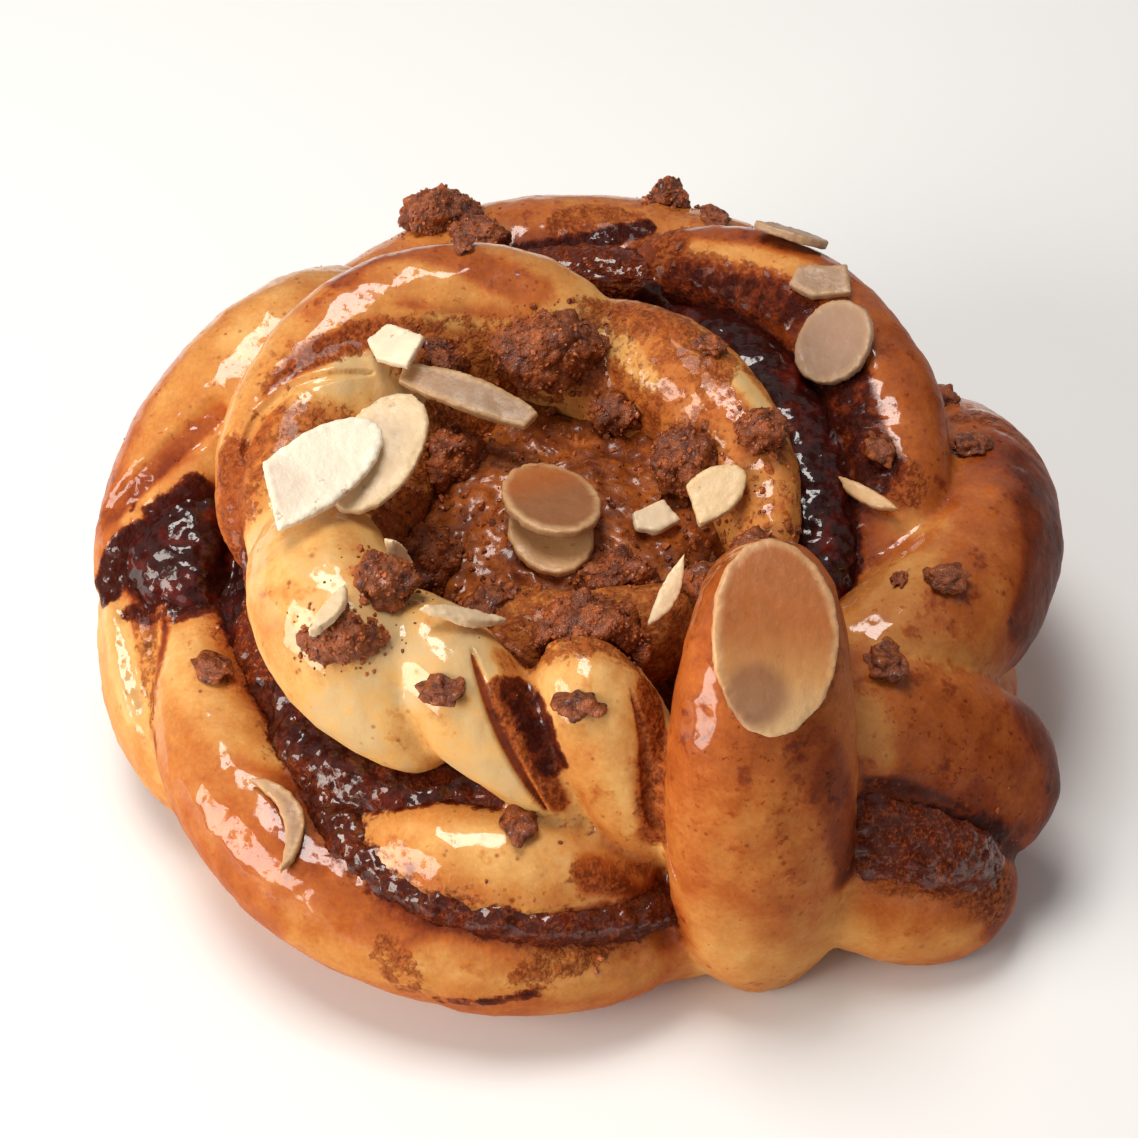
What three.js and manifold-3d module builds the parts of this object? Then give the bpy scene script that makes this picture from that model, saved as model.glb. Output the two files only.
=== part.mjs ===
// A knotted speculoos bun: a filled strand of sweet dough twisted and wound into a knot, its tail strapped
// over the front, with speculoos spread and crumble in the hollow on top and sliced almonds over it.
import * as THREE from "three";
import { mergeVertices } from "three/addons/utils/BufferGeometryUtils.js";
import Module from "manifold-3d";

const wasm = await Module();
wasm.setup();

// Driving dimensions, in millimetres and degrees. Angles run anticlockwise from +X seen from above, so 270
// is the front.
const CLEARANCE = 0.3; // between separate pieces
const DOUGH_FACETS = { sides: 10, length: 9.5 }; // round a turn of dough, and along it
const FILLING_FACETS = { sides: 7, length: 10 };
const CORE = { radius: 37, height: 32, centre: 13 };
const BASE = { radius: 43, height: 30, centre: 8 };
const BASE_RING = { radius: 39, tube: 10.5, height: 8 };
const FILLING_RING = { radius: 37, tube: 5.5, height: 21 };
const SPREAD = { radius: 21, height: 14, centre: 30 };

// The turns of the strand. Radius, height and width are those at a turn's start, half way and end.
const OUTER_TURNS = {
  front_left: {
    from: 184, to: 296, radius: [40.5, 49, 39.5], height: [22, 12.4, 7.2], width: [13, 16, 14], depth: 16,
  },
  front_lens: {
    from: 232, to: 284, radius: [43, 44.5, 40], height: [14.5, 18, 11], width: [10, 15, 12], depth: 14,
  },
  back_left: {
    from: 124, to: 190, radius: [39, 43, 53], height: [32, 32, 17], width: [16, 18, 7], depth: 18,
  },
  back: {
    from: 142, to: 34, radius: [44, 45, 45], height: [26, 29.5, 26], width: [16, 18, 16], depth: 18,
  },
  right_back: {
    from: 84, to: -28, radius: [36, 36.5, 33], height: [34, 36.5, 24], width: [14, 14, 10], depth: 16,
  },
  right: {
    from: 32, to: -48, radius: [48, 46, 33], height: [21, 26, 28], width: [16, 20, 16], depth: 18,
  },
  right_front: {
    from: -62, to: -28, radius: [32, 43, 59], height: [27, 25, 9.5], width: [14, 21, 22], depth: 16, blunt: 5,
  },
  front_right: {
    from: -66, to: -38, radius: [38, 49, 59.5], height: [17, 13.5, 3], width: [14, 20, 18], depth: 14, blunt: 5,
  },
};
const CROWN_TURNS = {
  left: {
    from: 198, to: 58, radius: [38, 24, 6], height: [31, 43, 29], width: [12, 14, 9], depth: 17,
  },
  right: {
    from: 114, to: -44, radius: [22, 15, 27], height: [36, 40.5, 33], width: [11, 11.5, 10], depth: 14,
  },
  layer: {
    from: 206, to: 118, radius: [36, 22, 12], height: [33, 39, 35], width: [6, 5, 4], depth: 14,
  },
  lining: {
    from: 214, to: 128, radius: [27, 20, 12], height: [33, 35, 32], width: [11, 11, 8], depth: 13,
  },
  front_left: {
    from: 198, to: 248, radius: [28, 36, 37], height: [34, 37, 26], width: [15, 18, 14], depth: 16,
  },
  front: {
    from: 231, to: 275, radius: [28, 36, 35.5], height: [36, 34, 17], width: [10, 13, 6], depth: 13,
  },
  front_right: {
    from: 267, to: 285, radius: [29, 37.5, 38], height: [38, 31, 11], width: [11, 13, 10], depth: 13,
  },
  front_rim: {
    from: 234, to: 308, radius: [21, 25, 23], height: [32, 33.5, 34], width: [10, 12, 10], depth: 11,
  },
};

// The tail of the strand, strapped over the front. Its angle passes through a third value half way.
const STRAP = {
  from: 314,
  via: 296,
  to: 297,
  radius: [27, 43, 48.5],
  height: [35, 40.5, -1],
  width: [12, 19, 23],
  depth: 15,
  blunt: 6,
};

// Thin layers of the strand, one outside the other, that show at the left.
const LEFT_LAYERS = {
  count: 3,
  step: 3,
  rise: 1.5,
  from: 172,
  to: 212,
  radius: [53.4, 54.4, 52.4],
  height: [17, 15, 8],
  width: [13, 13, 13],
  depth: 4.5,
};

// Lower turns round the back, each rising to pass over the next.
const BACK_TURNS = {
  count: 5,
  from: 172,
  to: -44,
  overlap: 16,
  radius: [42, 45, 44],
  height: [8, 13, 18],
  width: [18, 18, 18],
  depth: 16,
};

// The filling: runs that show in the grooves, all joined to a ring that runs through the dough. A run's depth
// points away from the core, or rises by its lean.
const FILLING_TURNS = {
  left_pool: {
    from: 161, to: 199, radius: [43, 48.5, 43], height: [23, 23, 21], width: [14, 19, 12], depth: 9, lean: 62,
  },
  front: {
    from: 216, to: 285, radius: [42, 40, 37], height: [21, 21.5, 17], width: [11, 7.5, 5], depth: 8, lean: 60,
  },
  lens: {
    from: 224, to: 292, radius: [43, 48.8, 42.5], height: [19.5, 17, 12.5], width: [10, 6.5, 6], depth: 8, lean: 42,
  },
  crown_front: {
    from: 250, to: 277, radius: [29, 35, 38], height: [37, 31, 20], width: [4, 7, 4], depth: 8,
  },
  right: {
    from: 70, to: -38, radius: [31, 26.5, 32], height: [35, 35, 26], width: [9, 11, 9], depth: 8, lean: 75,
  },
  back: {
    from: 136, to: 56, radius: [36, 35, 34], height: [25, 35, 34], width: [9, 9, 9], depth: 8, lean: 70,
  },
  crown_left: {
    from: 208, to: 112, radius: [37, 27.5, 17], height: [26, 43.5, 39], width: [7, 7, 5], depth: 9,
  },
  front_right: {
    from: 298, to: 322, radius: [38, 50.5, 59], height: [22, 18, 9.5], width: [12, 13, 11], depth: 11,
  },
};

// Clumps of crumble: where each lies, and its length, breadth and height.
const CLUMPS = {
  crown: { at: [-3.5, 11.2], size: [13, 10, 9] },
  crown_left: { at: [-15.5, 9.5], size: [6, 6, 6] },
  crown_right: { at: [5.5, 6.5], size: [8, 5, 5] },
  left_wall: { at: [-14.5, 1], size: [7, 8, 7] },
  left: { at: [-17, -11], size: [9, 9, 8] },
  left_rim: { at: [-20, -26], size: [8, 7, 6] },
  left_front: { at: [-24.5, -32.5], size: [9, 6, 5] },
  front: { at: [1, -28.5], size: [13, 10, 9] },
  centre: { at: [4.5, -17.5], size: [10, 8, 8] },
  right: { at: [12.5, -2], size: [10, 9, 8] },
  right_rim: { at: [20.5, -3], size: [7, 6, 5] },
  strap_top: { at: [13.5, -21], size: [7, 6, 6] },
  strap_side: { at: [19.5, -16], size: [7, 7, 5] },
  back_left: { at: [-17, 45], size: [11, 7, 7] },
  back_left_small: { at: [-12, 40], size: [7, 5, 5] },
  back: { at: [11.5, 49], size: [6, 5, 5] },
};
const CLUMP_LIFT = 0.22; // of a clump's height, from the surface to its middle

// Sliced almonds: where each lies, its length and breadth, the way its length points, the outline it has and,
// where it bridges a gap, its slope along and across.
const ALMOND_THICKNESS = 1.1;
const ALMONDS = {
  strap: { at: [19.4, -40], size: [20, 13], heading: 90, outline: "whole" },
  left_chip: { at: [-24.3, -0.8], size: [7, 4.5], heading: 40, outline: "shard" },
  left_back: { at: [-21.5, -10.5], size: [16, 9], heading: 62, slope: [0.3, 0.15], outline: "whole" },
  left_long: { at: [-28.5, -15.5], size: [19.5, 8.5], heading: 44, slope: [0.1, 0.35], outline: "broken" },
  left_sliver: { at: [-19, -20.5], size: [8, 3.5], heading: 48, outline: "blade" },
  left_front: { at: [-25.5, -32], size: [8, 4], heading: 52, outline: "blade" },
  stick: { at: [-12.3, 3], size: [17, 4.5], heading: -24, slope: [-0.05, 0.3], outline: "stick" },
  square: { at: [-20.5, 7.5], size: [6.5, 5.5], heading: -38, outline: "shard" },
  centre_under: { at: [-3, -11.5], size: [11, 9], heading: -60, outline: "whole" },
  centre: { at: [-3, -9], size: [13, 10.5], heading: -62, outline: "whole" },
  notched: { at: [14.5, -10], size: [9.5, 5.5], heading: 38, slope: [0.25, 0.3], outline: "broken" },
  grey_chip: { at: [8.5, -8.8], size: [5.5, 4], heading: 25, outline: "shard" },
  strap_chip: { at: [9.3, -25.5], size: [9, 3.8], heading: 50, slope: [0.3, 0.4], outline: "blade" },
  front_sliver: { at: [-11.8, -30], size: [10.5, 3.5], heading: 6, outline: "blade" },
  outer_curl: { at: [-31.5, -39.8], size: [11.5, 4.5], heading: -70, outline: "curl" },
  right: { at: [29.5, 13.5], size: [10.5, 9.5], heading: 62, outline: "whole" },
  right_chip: { at: [28.5, 22], size: [7.5, 5], heading: -12, outline: "shard" },
  back: { at: [25, 32], size: [10.5, 6.5], heading: -24, outline: "broken" },
  right_sliver: { at: [32.5, -5], size: [8.5, 3.2], heading: -52, outline: "blade" },
};

// Crumbs stuck to the dough: the larger ones where they show, then a seeded scatter over the rest of it.
const LARGE_CRUMBS = [
  [40, -18], [32.5, -29], [-40.5, -20], [-38.5, -23], [-14, -37.5], [0, -39.5], [-6, -43.5], [34, 0],
];
const CRUMB = { radius: [0.9, 1.9], scattered: 10, seed: 7, reach: 52, room: 3.4 };

const LOOKS = {
  dough: { color: 0xc98a4b, roughness: 0.3, metalness: 0 },
  filling: { color: 0x3a1410, roughness: 0.2, metalness: 0 },
  spread: { color: 0x8a4c22, roughness: 0.3, metalness: 0 },
  clump: { color: 0x6b3a22, roughness: 0.8, metalness: 0 },
  almond: { color: 0xd8b48a, roughness: 0.5, metalness: 0 },
};

// The value at t on the parabola through a start, a middle and an end value.
function through([start, middle, end], t) {
  return start * (1 - t) * (1 - 2 * t) + middle * 4 * t * (1 - t) + end * t * (2 * t - 1);
}

// A seeded source of numbers from 0 to 1.
function seededRandom(seed) {
  let state = seed;
  return () => {
    state = (state * 16807) % 2147483647;
    return state / 2147483647;
  };
}

// The middle line of a turn, round the bun's axis.
class TurnCurve extends THREE.Curve {
  constructor(turn) {
    super();
    this.turn = turn;
  }

  getPoint(t, target = new THREE.Vector3()) {
    const { from, to, via = (from + to) / 2, radius, height } = this.turn;
    const angle = THREE.MathUtils.degToRad(through([from, via, to], t));
    target.set(Math.cos(angle), Math.sin(angle), 0).multiplyScalar(through(radius, t));
    return target.setZ(through(height, t));
  }
}

// The way out of the bun at a point on a turn's line, square to the line.
function outwardAt(centre, tangent, lean) {
  const reach = Math.hypot(centre.x, centre.y);
  const away = Math.atan2(centre.z - CORE.centre, reach);
  const rise = lean === undefined ? away : THREE.MathUtils.degToRad(lean);
  const outward = new THREE.Vector3(centre.x, centre.y, 0).multiplyScalar(Math.cos(rise) / reach);
  outward.setZ(Math.sin(rise));
  return outward.addScaledVector(tangent, -outward.dot(tangent)).normalize();
}

// A plump turn: a sphere stretched along the turn's line, its width along the bun's surface and its depth
// across it.
function turnGeometry(turn, facets, grow) {
  const { width, depth, blunt = 3, lean } = turn;
  const curve = new TurnCurve(turn);
  const steps = Math.round(curve.getLength() / facets.length) + 4;
  const geometry = new THREE.SphereGeometry(1, facets.sides, steps);
  const position = geometry.getAttribute("position");
  for (let i = 0; i < position.count; i++) {
    const along = position.getY(i);
    const around = Math.atan2(position.getZ(i), position.getX(i));
    const t = (1 - along) / 2;
    const plump = Math.sqrt(Math.max(0, 1 - Math.abs(along) ** blunt));
    const point = curve.getPoint(t);
    const tangent = curve.getTangent(t);
    const outward = outwardAt(point, tangent, lean);
    const side = new THREE.Vector3().crossVectors(tangent, outward);
    point.addScaledVector(side, plump * (through(width, t) / 2 + grow) * Math.cos(around));
    point.addScaledVector(outward, plump * (depth / 2 + grow) * Math.sin(around));
    point.addScaledVector(tangent, -grow * along);
    position.setXYZ(i, point.x, point.y, point.z);
  }
  return geometry;
}

// A sphere pressed flat, about the bun's axis.
function pressedSphere({ radius, height, centre }, grow) {
  const sphere = new THREE.SphereGeometry(1, 18, 8).rotateX(Math.PI / 2);
  return sphere.scale(radius + grow, radius + grow, height / 2 + grow).translate(0, 0, centre);
}

// A ring about the bun's axis.
function ringGeometry({ radius, tube, height }, grow) {
  return new THREE.TorusGeometry(radius, tube + grow, 8, 28).translate(0, 0, height);
}

// A geometry with its shared corners merged and nothing but positions left.
function bareGeometry(geometry) {
  geometry.deleteAttribute("normal");
  geometry.deleteAttribute("uv");
  return mergeVertices(geometry, 1e-4);
}

// A closed geometry as a solid for joining and cutting, its faces turned to point out.
function solid(geometry) {
  const bare = bareGeometry(geometry);
  const vertProperties = bare.getAttribute("position").array;
  const triVerts = new Uint32Array(bare.index.array);
  const made = new wasm.Manifold(new wasm.Mesh({ numProp: 3, vertProperties, triVerts }));
  if (made.volume() >= 0) return made;
  return new wasm.Manifold(new wasm.Mesh({ numProp: 3, vertProperties, triVerts: triVerts.reverse() }));
}

// A solid as a geometry again.
function geometryOf(made) {
  const { vertProperties, triVerts } = made.getMesh();
  const geometry = new THREE.BufferGeometry();
  geometry.setAttribute("position", new THREE.BufferAttribute(vertProperties, 3));
  return geometry.setIndex(new THREE.BufferAttribute(triVerts, 1));
}

// The thin layers at the left, each inside the one before it.
function leftLayers() {
  return Array.from({ length: LEFT_LAYERS.count }, (_, i) => ({
    ...LEFT_LAYERS,
    radius: LEFT_LAYERS.radius.map((radius) => radius - i * LEFT_LAYERS.step),
    height: LEFT_LAYERS.height.map((height) => height + i * LEFT_LAYERS.rise),
  }));
}

// The lower turns round the back, one after another.
function backTurns() {
  const { count, from, to, overlap } = BACK_TURNS;
  const stride = (to - from) / count;
  return Array.from({ length: count }, (_, i) => ({
    ...BACK_TURNS,
    from: from + i * stride + overlap,
    to: from + (i + 1) * stride - overlap,
  }));
}

function joinTurns(turns, facets, grow) {
  return wasm.Manifold.union(turns.map((turn) => solid(turnGeometry(turn, facets, grow))));
}

function makeDough(grow) {
  const upper = [...Object.values(OUTER_TURNS), ...Object.values(CROWN_TURNS), STRAP];
  const wound = joinTurns([...upper, ...leftLayers(), ...backTurns()], DOUGH_FACETS, grow);
  const heart = [pressedSphere(CORE, grow), pressedSphere(BASE, grow), ringGeometry(BASE_RING, grow)];
  return wasm.Manifold.union([wound, ...heart.map(solid)]);
}

function makeFilling(grow) {
  const runs = joinTurns(Object.values(FILLING_TURNS), FILLING_FACETS, grow);
  return runs.add(solid(ringGeometry(FILLING_RING, grow)));
}

// A craggy lump of crumble about the origin.
function lumpGeometry(size, detail, random, grow = 0) {
  const lump = bareGeometry(new THREE.IcosahedronGeometry(0.5, detail));
  const position = lump.getAttribute("position");
  const corner = new THREE.Vector3();
  for (let i = 0; i < position.count; i++) {
    corner.fromBufferAttribute(position, i).multiplyScalar(0.84 + 0.32 * random());
    position.setXYZ(i, corner.x, corner.y, corner.z);
  }
  return lump.scale(...size.map((length) => length + 2 * grow));
}

// The outlines of sliced almonds, with a length of 1 along x and a breadth of 1 along y.
const ALMOND_OUTLINES = {
  whole: (shape) => shape.absellipse(0, 0, 0.5, 0.5, 0, 2 * Math.PI),
  broken: (shape) => shape.absellipse(0, 0, 0.5, 0.5, -0.75 * Math.PI, 0.6 * Math.PI),
  shard: (shape) => shape
    .moveTo(-0.5, -0.2)
    .lineTo(-0.1, -0.5)
    .lineTo(0.5, -0.3)
    .lineTo(0.35, 0.5)
    .lineTo(-0.4, 0.35),
  blade: (shape) => shape
    .moveTo(-0.5, -0.2)
    .quadraticCurveTo(0, -0.8, 0.5, 0.3)
    .quadraticCurveTo(0, 0.4, -0.5, -0.2),
  stick: (shape) => shape
    .moveTo(-0.5, 0.2)
    .bezierCurveTo(-0.3, 0.6, 0.3, 0.6, 0.5, 0.1)
    .lineTo(0.46, -0.4)
    .bezierCurveTo(0.2, -0.5, -0.3, -0.5, -0.48, -0.3),
  curl: (shape) => shape
    .moveTo(-0.5, -0.5)
    .quadraticCurveTo(0, 0.5, 0.5, -0.5)
    .lineTo(0.42, -0.05)
    .quadraticCurveTo(0, 1.1, -0.44, -0.05),
};

// A sliced almond about the origin, flat in the XY plane.
function almondGeometry({ size: [length, breadth], outline }) {
  const shape = new THREE.Shape();
  ALMOND_OUTLINES[outline](shape);
  const slice = new THREE.ExtrudeGeometry(shape, { depth: 1, bevelEnabled: false, curveSegments: 8 });
  return slice.translate(0, 0, -0.5).scale(length, breadth, ALMOND_THICKNESS);
}

// What the toppings lie on: every solid laid so far, looked down on from well above.
const SKY = 100;
const DOWN = new THREE.Vector3(0, 0, -1);
const ground = [];
const caster = new THREE.Raycaster();

function layOnGround(made) {
  ground.push(new THREE.Mesh(geometryOf(made), new THREE.MeshBasicMaterial()));
  return made;
}

// The first thing straight below a point.
function below(point) {
  caster.set(point, DOWN);
  return caster.intersectObjects(ground)[0];
}

function groundHeight(x, y) {
  return below(new THREE.Vector3(x, y, SKY))?.point.z ?? 0;
}

// The ground's rise along a way across a spot.
function groundSlope([x, y], way, reach) {
  const dx = Math.cos(way) * reach;
  const dy = Math.sin(way) * reach;
  return (groundHeight(x + dx, y + dy) - groundHeight(x - dx, y - dy)) / (2 * reach);
}

// The axes of a slice that lies along the slope under it.
function almondAxes({ at, size: [length, breadth], heading, slope }) {
  const way = THREE.MathUtils.degToRad(heading);
  const side = way + Math.PI / 2;
  const [rise, tilt] = slope ?? [groundSlope(at, way, 0.36 * length), groundSlope(at, side, 0.36 * breadth)];
  const along = new THREE.Vector3(Math.cos(way), Math.sin(way), rise).normalize();
  const across = new THREE.Vector3(Math.cos(side), Math.sin(side), tilt).normalize();
  const up = new THREE.Vector3().crossVectors(along, across).normalize();
  return { along, across: across.crossVectors(up, along), up };
}

// Lays a slice over its spot and lowers it until it all but touches.
function layAlmond(almond) {
  const { along, across, up } = almondAxes(almond);
  const middle = new THREE.Vector3(...almond.at, SKY);
  const geometry = almondGeometry(almond).applyMatrix4(new THREE.Matrix4().makeBasis(along, across, up));
  geometry.translate(middle.x, middle.y, middle.z);
  const position = geometry.getAttribute("position");
  const spot = new THREE.Vector3();
  let drop = SKY;
  for (let i = 0; i < position.count; i++) {
    for (const share of [0.15, 0.3, 0.5, 0.65, 0.85, 1]) {
      spot.fromBufferAttribute(position, i).sub(middle).multiplyScalar(share).add(middle);
      spot.addScaledVector(up, -(1 - share) * ALMOND_THICKNESS / 2);
      drop = Math.min(drop, below(spot)?.distance ?? SKY);
    }
  }
  return solid(geometry.translate(0, 0, 2 * CLEARANCE - drop));
}

// The clumps, each bedded into what is under it and giving way to those laid before it.
function makeClumps(bed) {
  let taken = bed;
  const clumps = Object.entries(CLUMPS).map(([name, { at, size }], i) => {
    const place = [...at, groundHeight(...at) + CLUMP_LIFT * size[2]];
    const lump = (grow) => solid(lumpGeometry(size, 1, seededRandom(i + 1), grow).translate(...place));
    const clump = lump(0).subtract(taken);
    taken = taken.add(lump(CLEARANCE));
    return [`clump_${name}`, clump];
  });
  clumps.forEach(([, clump]) => layOnGround(clump));
  return clumps;
}

// Whether a crumb at a spot would have the dough alone round it.
function openDough(x, y) {
  const ways = Array.from({ length: 8 }, (_, i) => (i * Math.PI) / 4);
  const rim = ways.map((way) => [x + CRUMB.room * Math.cos(way), y + CRUMB.room * Math.sin(way)]);
  return [[x, y], ...rim].every((spot) => below(new THREE.Vector3(...spot, SKY))?.object === ground[0]);
}

function makeCrumbs() {
  const random = seededRandom(CRUMB.seed);
  const spots = LARGE_CRUMBS.filter((spot) => openDough(...spot));
  const large = spots.length;
  while (spots.length < large + CRUMB.scattered) {
    const spot = [0, 0].map(() => (2 * random() - 1) * CRUMB.reach);
    if (openDough(...spot)) spots.push(spot);
  }
  return spots.map(([x, y], i) => {
    const radius = i < large ? CRUMB.radius[1] : THREE.MathUtils.lerp(...CRUMB.radius, random());
    const lump = lumpGeometry([2.6 * radius, 2 * radius, 1.8 * radius], 0, random);
    lump.rotateZ(2 * Math.PI * random());
    return solid(lump.translate(x, y, groundHeight(x, y) + 0.3 * radius));
  });
}

function namedMesh(name, made, looks) {
  const mesh = new THREE.Mesh(geometryOf(made), new THREE.MeshStandardMaterial(looks));
  mesh.name = name;
  return mesh;
}

// The filling and the spread keep their own room in the dough, which stands on a flat base.
const floor = solid(new THREE.BoxGeometry(200, 200, 40).translate(0, 0, -20));
const fillingRoom = makeFilling(CLEARANCE);
const spreadRoom = solid(pressedSphere(SPREAD, CLEARANCE));
const bareDough = layOnGround(makeDough(0).subtract(floor).subtract(fillingRoom).subtract(spreadRoom));
const filling = layOnGround(makeFilling(0));
const spread = layOnGround(solid(pressedSphere(SPREAD, 0)).subtract(fillingRoom));

const clumps = makeClumps(makeDough(CLEARANCE).add(fillingRoom).add(spreadRoom));
const almonds = Object.entries(ALMONDS).map(([name, almond]) => {
  return [`almond_${name}`, layOnGround(layAlmond(almond))];
});
const dough = wasm.Manifold.union([bareDough, ...makeCrumbs()]);

const crumble = new THREE.Group();
crumble.add(...clumps.map(([name, made]) => namedMesh(name, made, LOOKS.clump)));
const slices = new THREE.Group();
slices.add(...almonds.map(([name, made]) => namedMesh(name, made, LOOKS.almond)));

const bun = new THREE.Group();
bun.add(namedMesh("dough", dough, LOOKS.dough));
bun.add(namedMesh("filling", filling, LOOKS.filling));
bun.add(namedMesh("spread", spread, LOOKS.spread));
bun.add(crumble, slices);

export default bun;
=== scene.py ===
"""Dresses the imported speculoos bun: glazed dough, dark filling, biscuit spread, crumble and almond slices.

Sizes are in millimetres and degrees, as in the part, and become metres only where a mesh is made. Angles run
anticlockwise from +X seen from above, so 270 is the front.
"""

import logging
import math
from dataclasses import dataclass, field, replace
from enum import Enum
from typing import Any, Iterable, Iterator, Sequence

import bmesh
import bpy
import numpy as np
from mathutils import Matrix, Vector, noise
from mathutils.bvhtree import BVHTree
from mathutils.kdtree import KDTree


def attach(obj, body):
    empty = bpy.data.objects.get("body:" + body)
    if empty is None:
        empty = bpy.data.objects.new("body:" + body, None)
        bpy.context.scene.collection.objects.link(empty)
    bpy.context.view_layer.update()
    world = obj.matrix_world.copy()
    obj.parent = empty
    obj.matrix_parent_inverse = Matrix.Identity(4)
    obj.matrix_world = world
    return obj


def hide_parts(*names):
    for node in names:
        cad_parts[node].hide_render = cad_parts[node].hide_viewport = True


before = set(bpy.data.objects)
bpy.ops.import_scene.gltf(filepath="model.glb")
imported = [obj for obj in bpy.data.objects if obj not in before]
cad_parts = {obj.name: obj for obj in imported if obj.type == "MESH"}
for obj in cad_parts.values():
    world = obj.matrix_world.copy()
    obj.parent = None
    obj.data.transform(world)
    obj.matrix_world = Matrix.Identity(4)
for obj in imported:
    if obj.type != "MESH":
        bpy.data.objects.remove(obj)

LOG = logging.getLogger("speculoos_bun")
MM = 0.001
BODY = "root"
FULL_TURN = 2 * math.pi
WELD = 1e-6
Pair = tuple[float, float]
Reliefs = tuple[Pair, Pair]
Triple = tuple[float, float, float]
Colour = tuple[float, float, float, float]
Stops = tuple[tuple[float, Colour], ...]
Faces = list[tuple[int, ...]]
Array = np.ndarray
Object = bpy.types.Object
Material = bpy.types.Material
Node = bpy.types.Node
Socket = bpy.types.NodeSocket
Tree = bpy.types.NodeTree


class Slot(Enum):
    """The record's material slots."""

    DOUGH = "dough"
    FILLING = "filling"
    SPREAD = "spread"
    CRUMBLE = "crumble"
    ALMOND = "almond"


class Mark(Enum):
    """The marks of baking and filling on the dough, each but the fold kept as an attribute of its mesh."""

    BAKE = "bake"
    FLECK = "fleck"
    SMEAR = "smear"
    SPECKLE = "speckle"
    FOLD = "fold"


def tint(red: float, green: float, blue: float) -> Colour:
    """A colour as the eye names it, from 0 to 255, turned to the linear values that a shader takes.

    Args:
        red: Red, 0 to 255.
        green: Green, 0 to 255.
        blue: Blue, 0 to 255.

    Returns:
        The linear colour with an alpha of 1.
    """
    values = (red / 255, green / 255, blue / 255)
    linear = [((v + 0.055) / 1.055) ** 2.4 if v > 0.04 else v / 12.92 for v in values]
    return (linear[0], linear[1], linear[2], 1.0)


def through(values: Triple, t: Array) -> Array:
    """The parabola through the values at 0, one half and 1, read at t."""
    start, middle, end = values
    return start * (1 - t) * (1 - 2 * t) + middle * 4 * t * (1 - t) + end * t * (2 * t - 1)


def smoothstep(low: float, high: float, value: Array) -> Array:
    """A soft step of values from 0 at low to 1 at high."""
    t = np.clip((value - low) / (high - low), 0.0, 1.0)
    return t * t * (3 - 2 * t)


class SeededRandom:
    """The part's own seeded numbers from 0 to 1, so that its crumbs land where the solid has them."""

    MODULUS = 2147483647
    FACTOR = 16807

    def __init__(self, seed: int) -> None:
        """Starts the sequence at a seed."""
        self.state = seed

    def __call__(self) -> float:
        """The next number."""
        self.state = (self.state * self.FACTOR) % self.MODULUS
        return self.state / self.MODULUS


# Node trees


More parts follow.
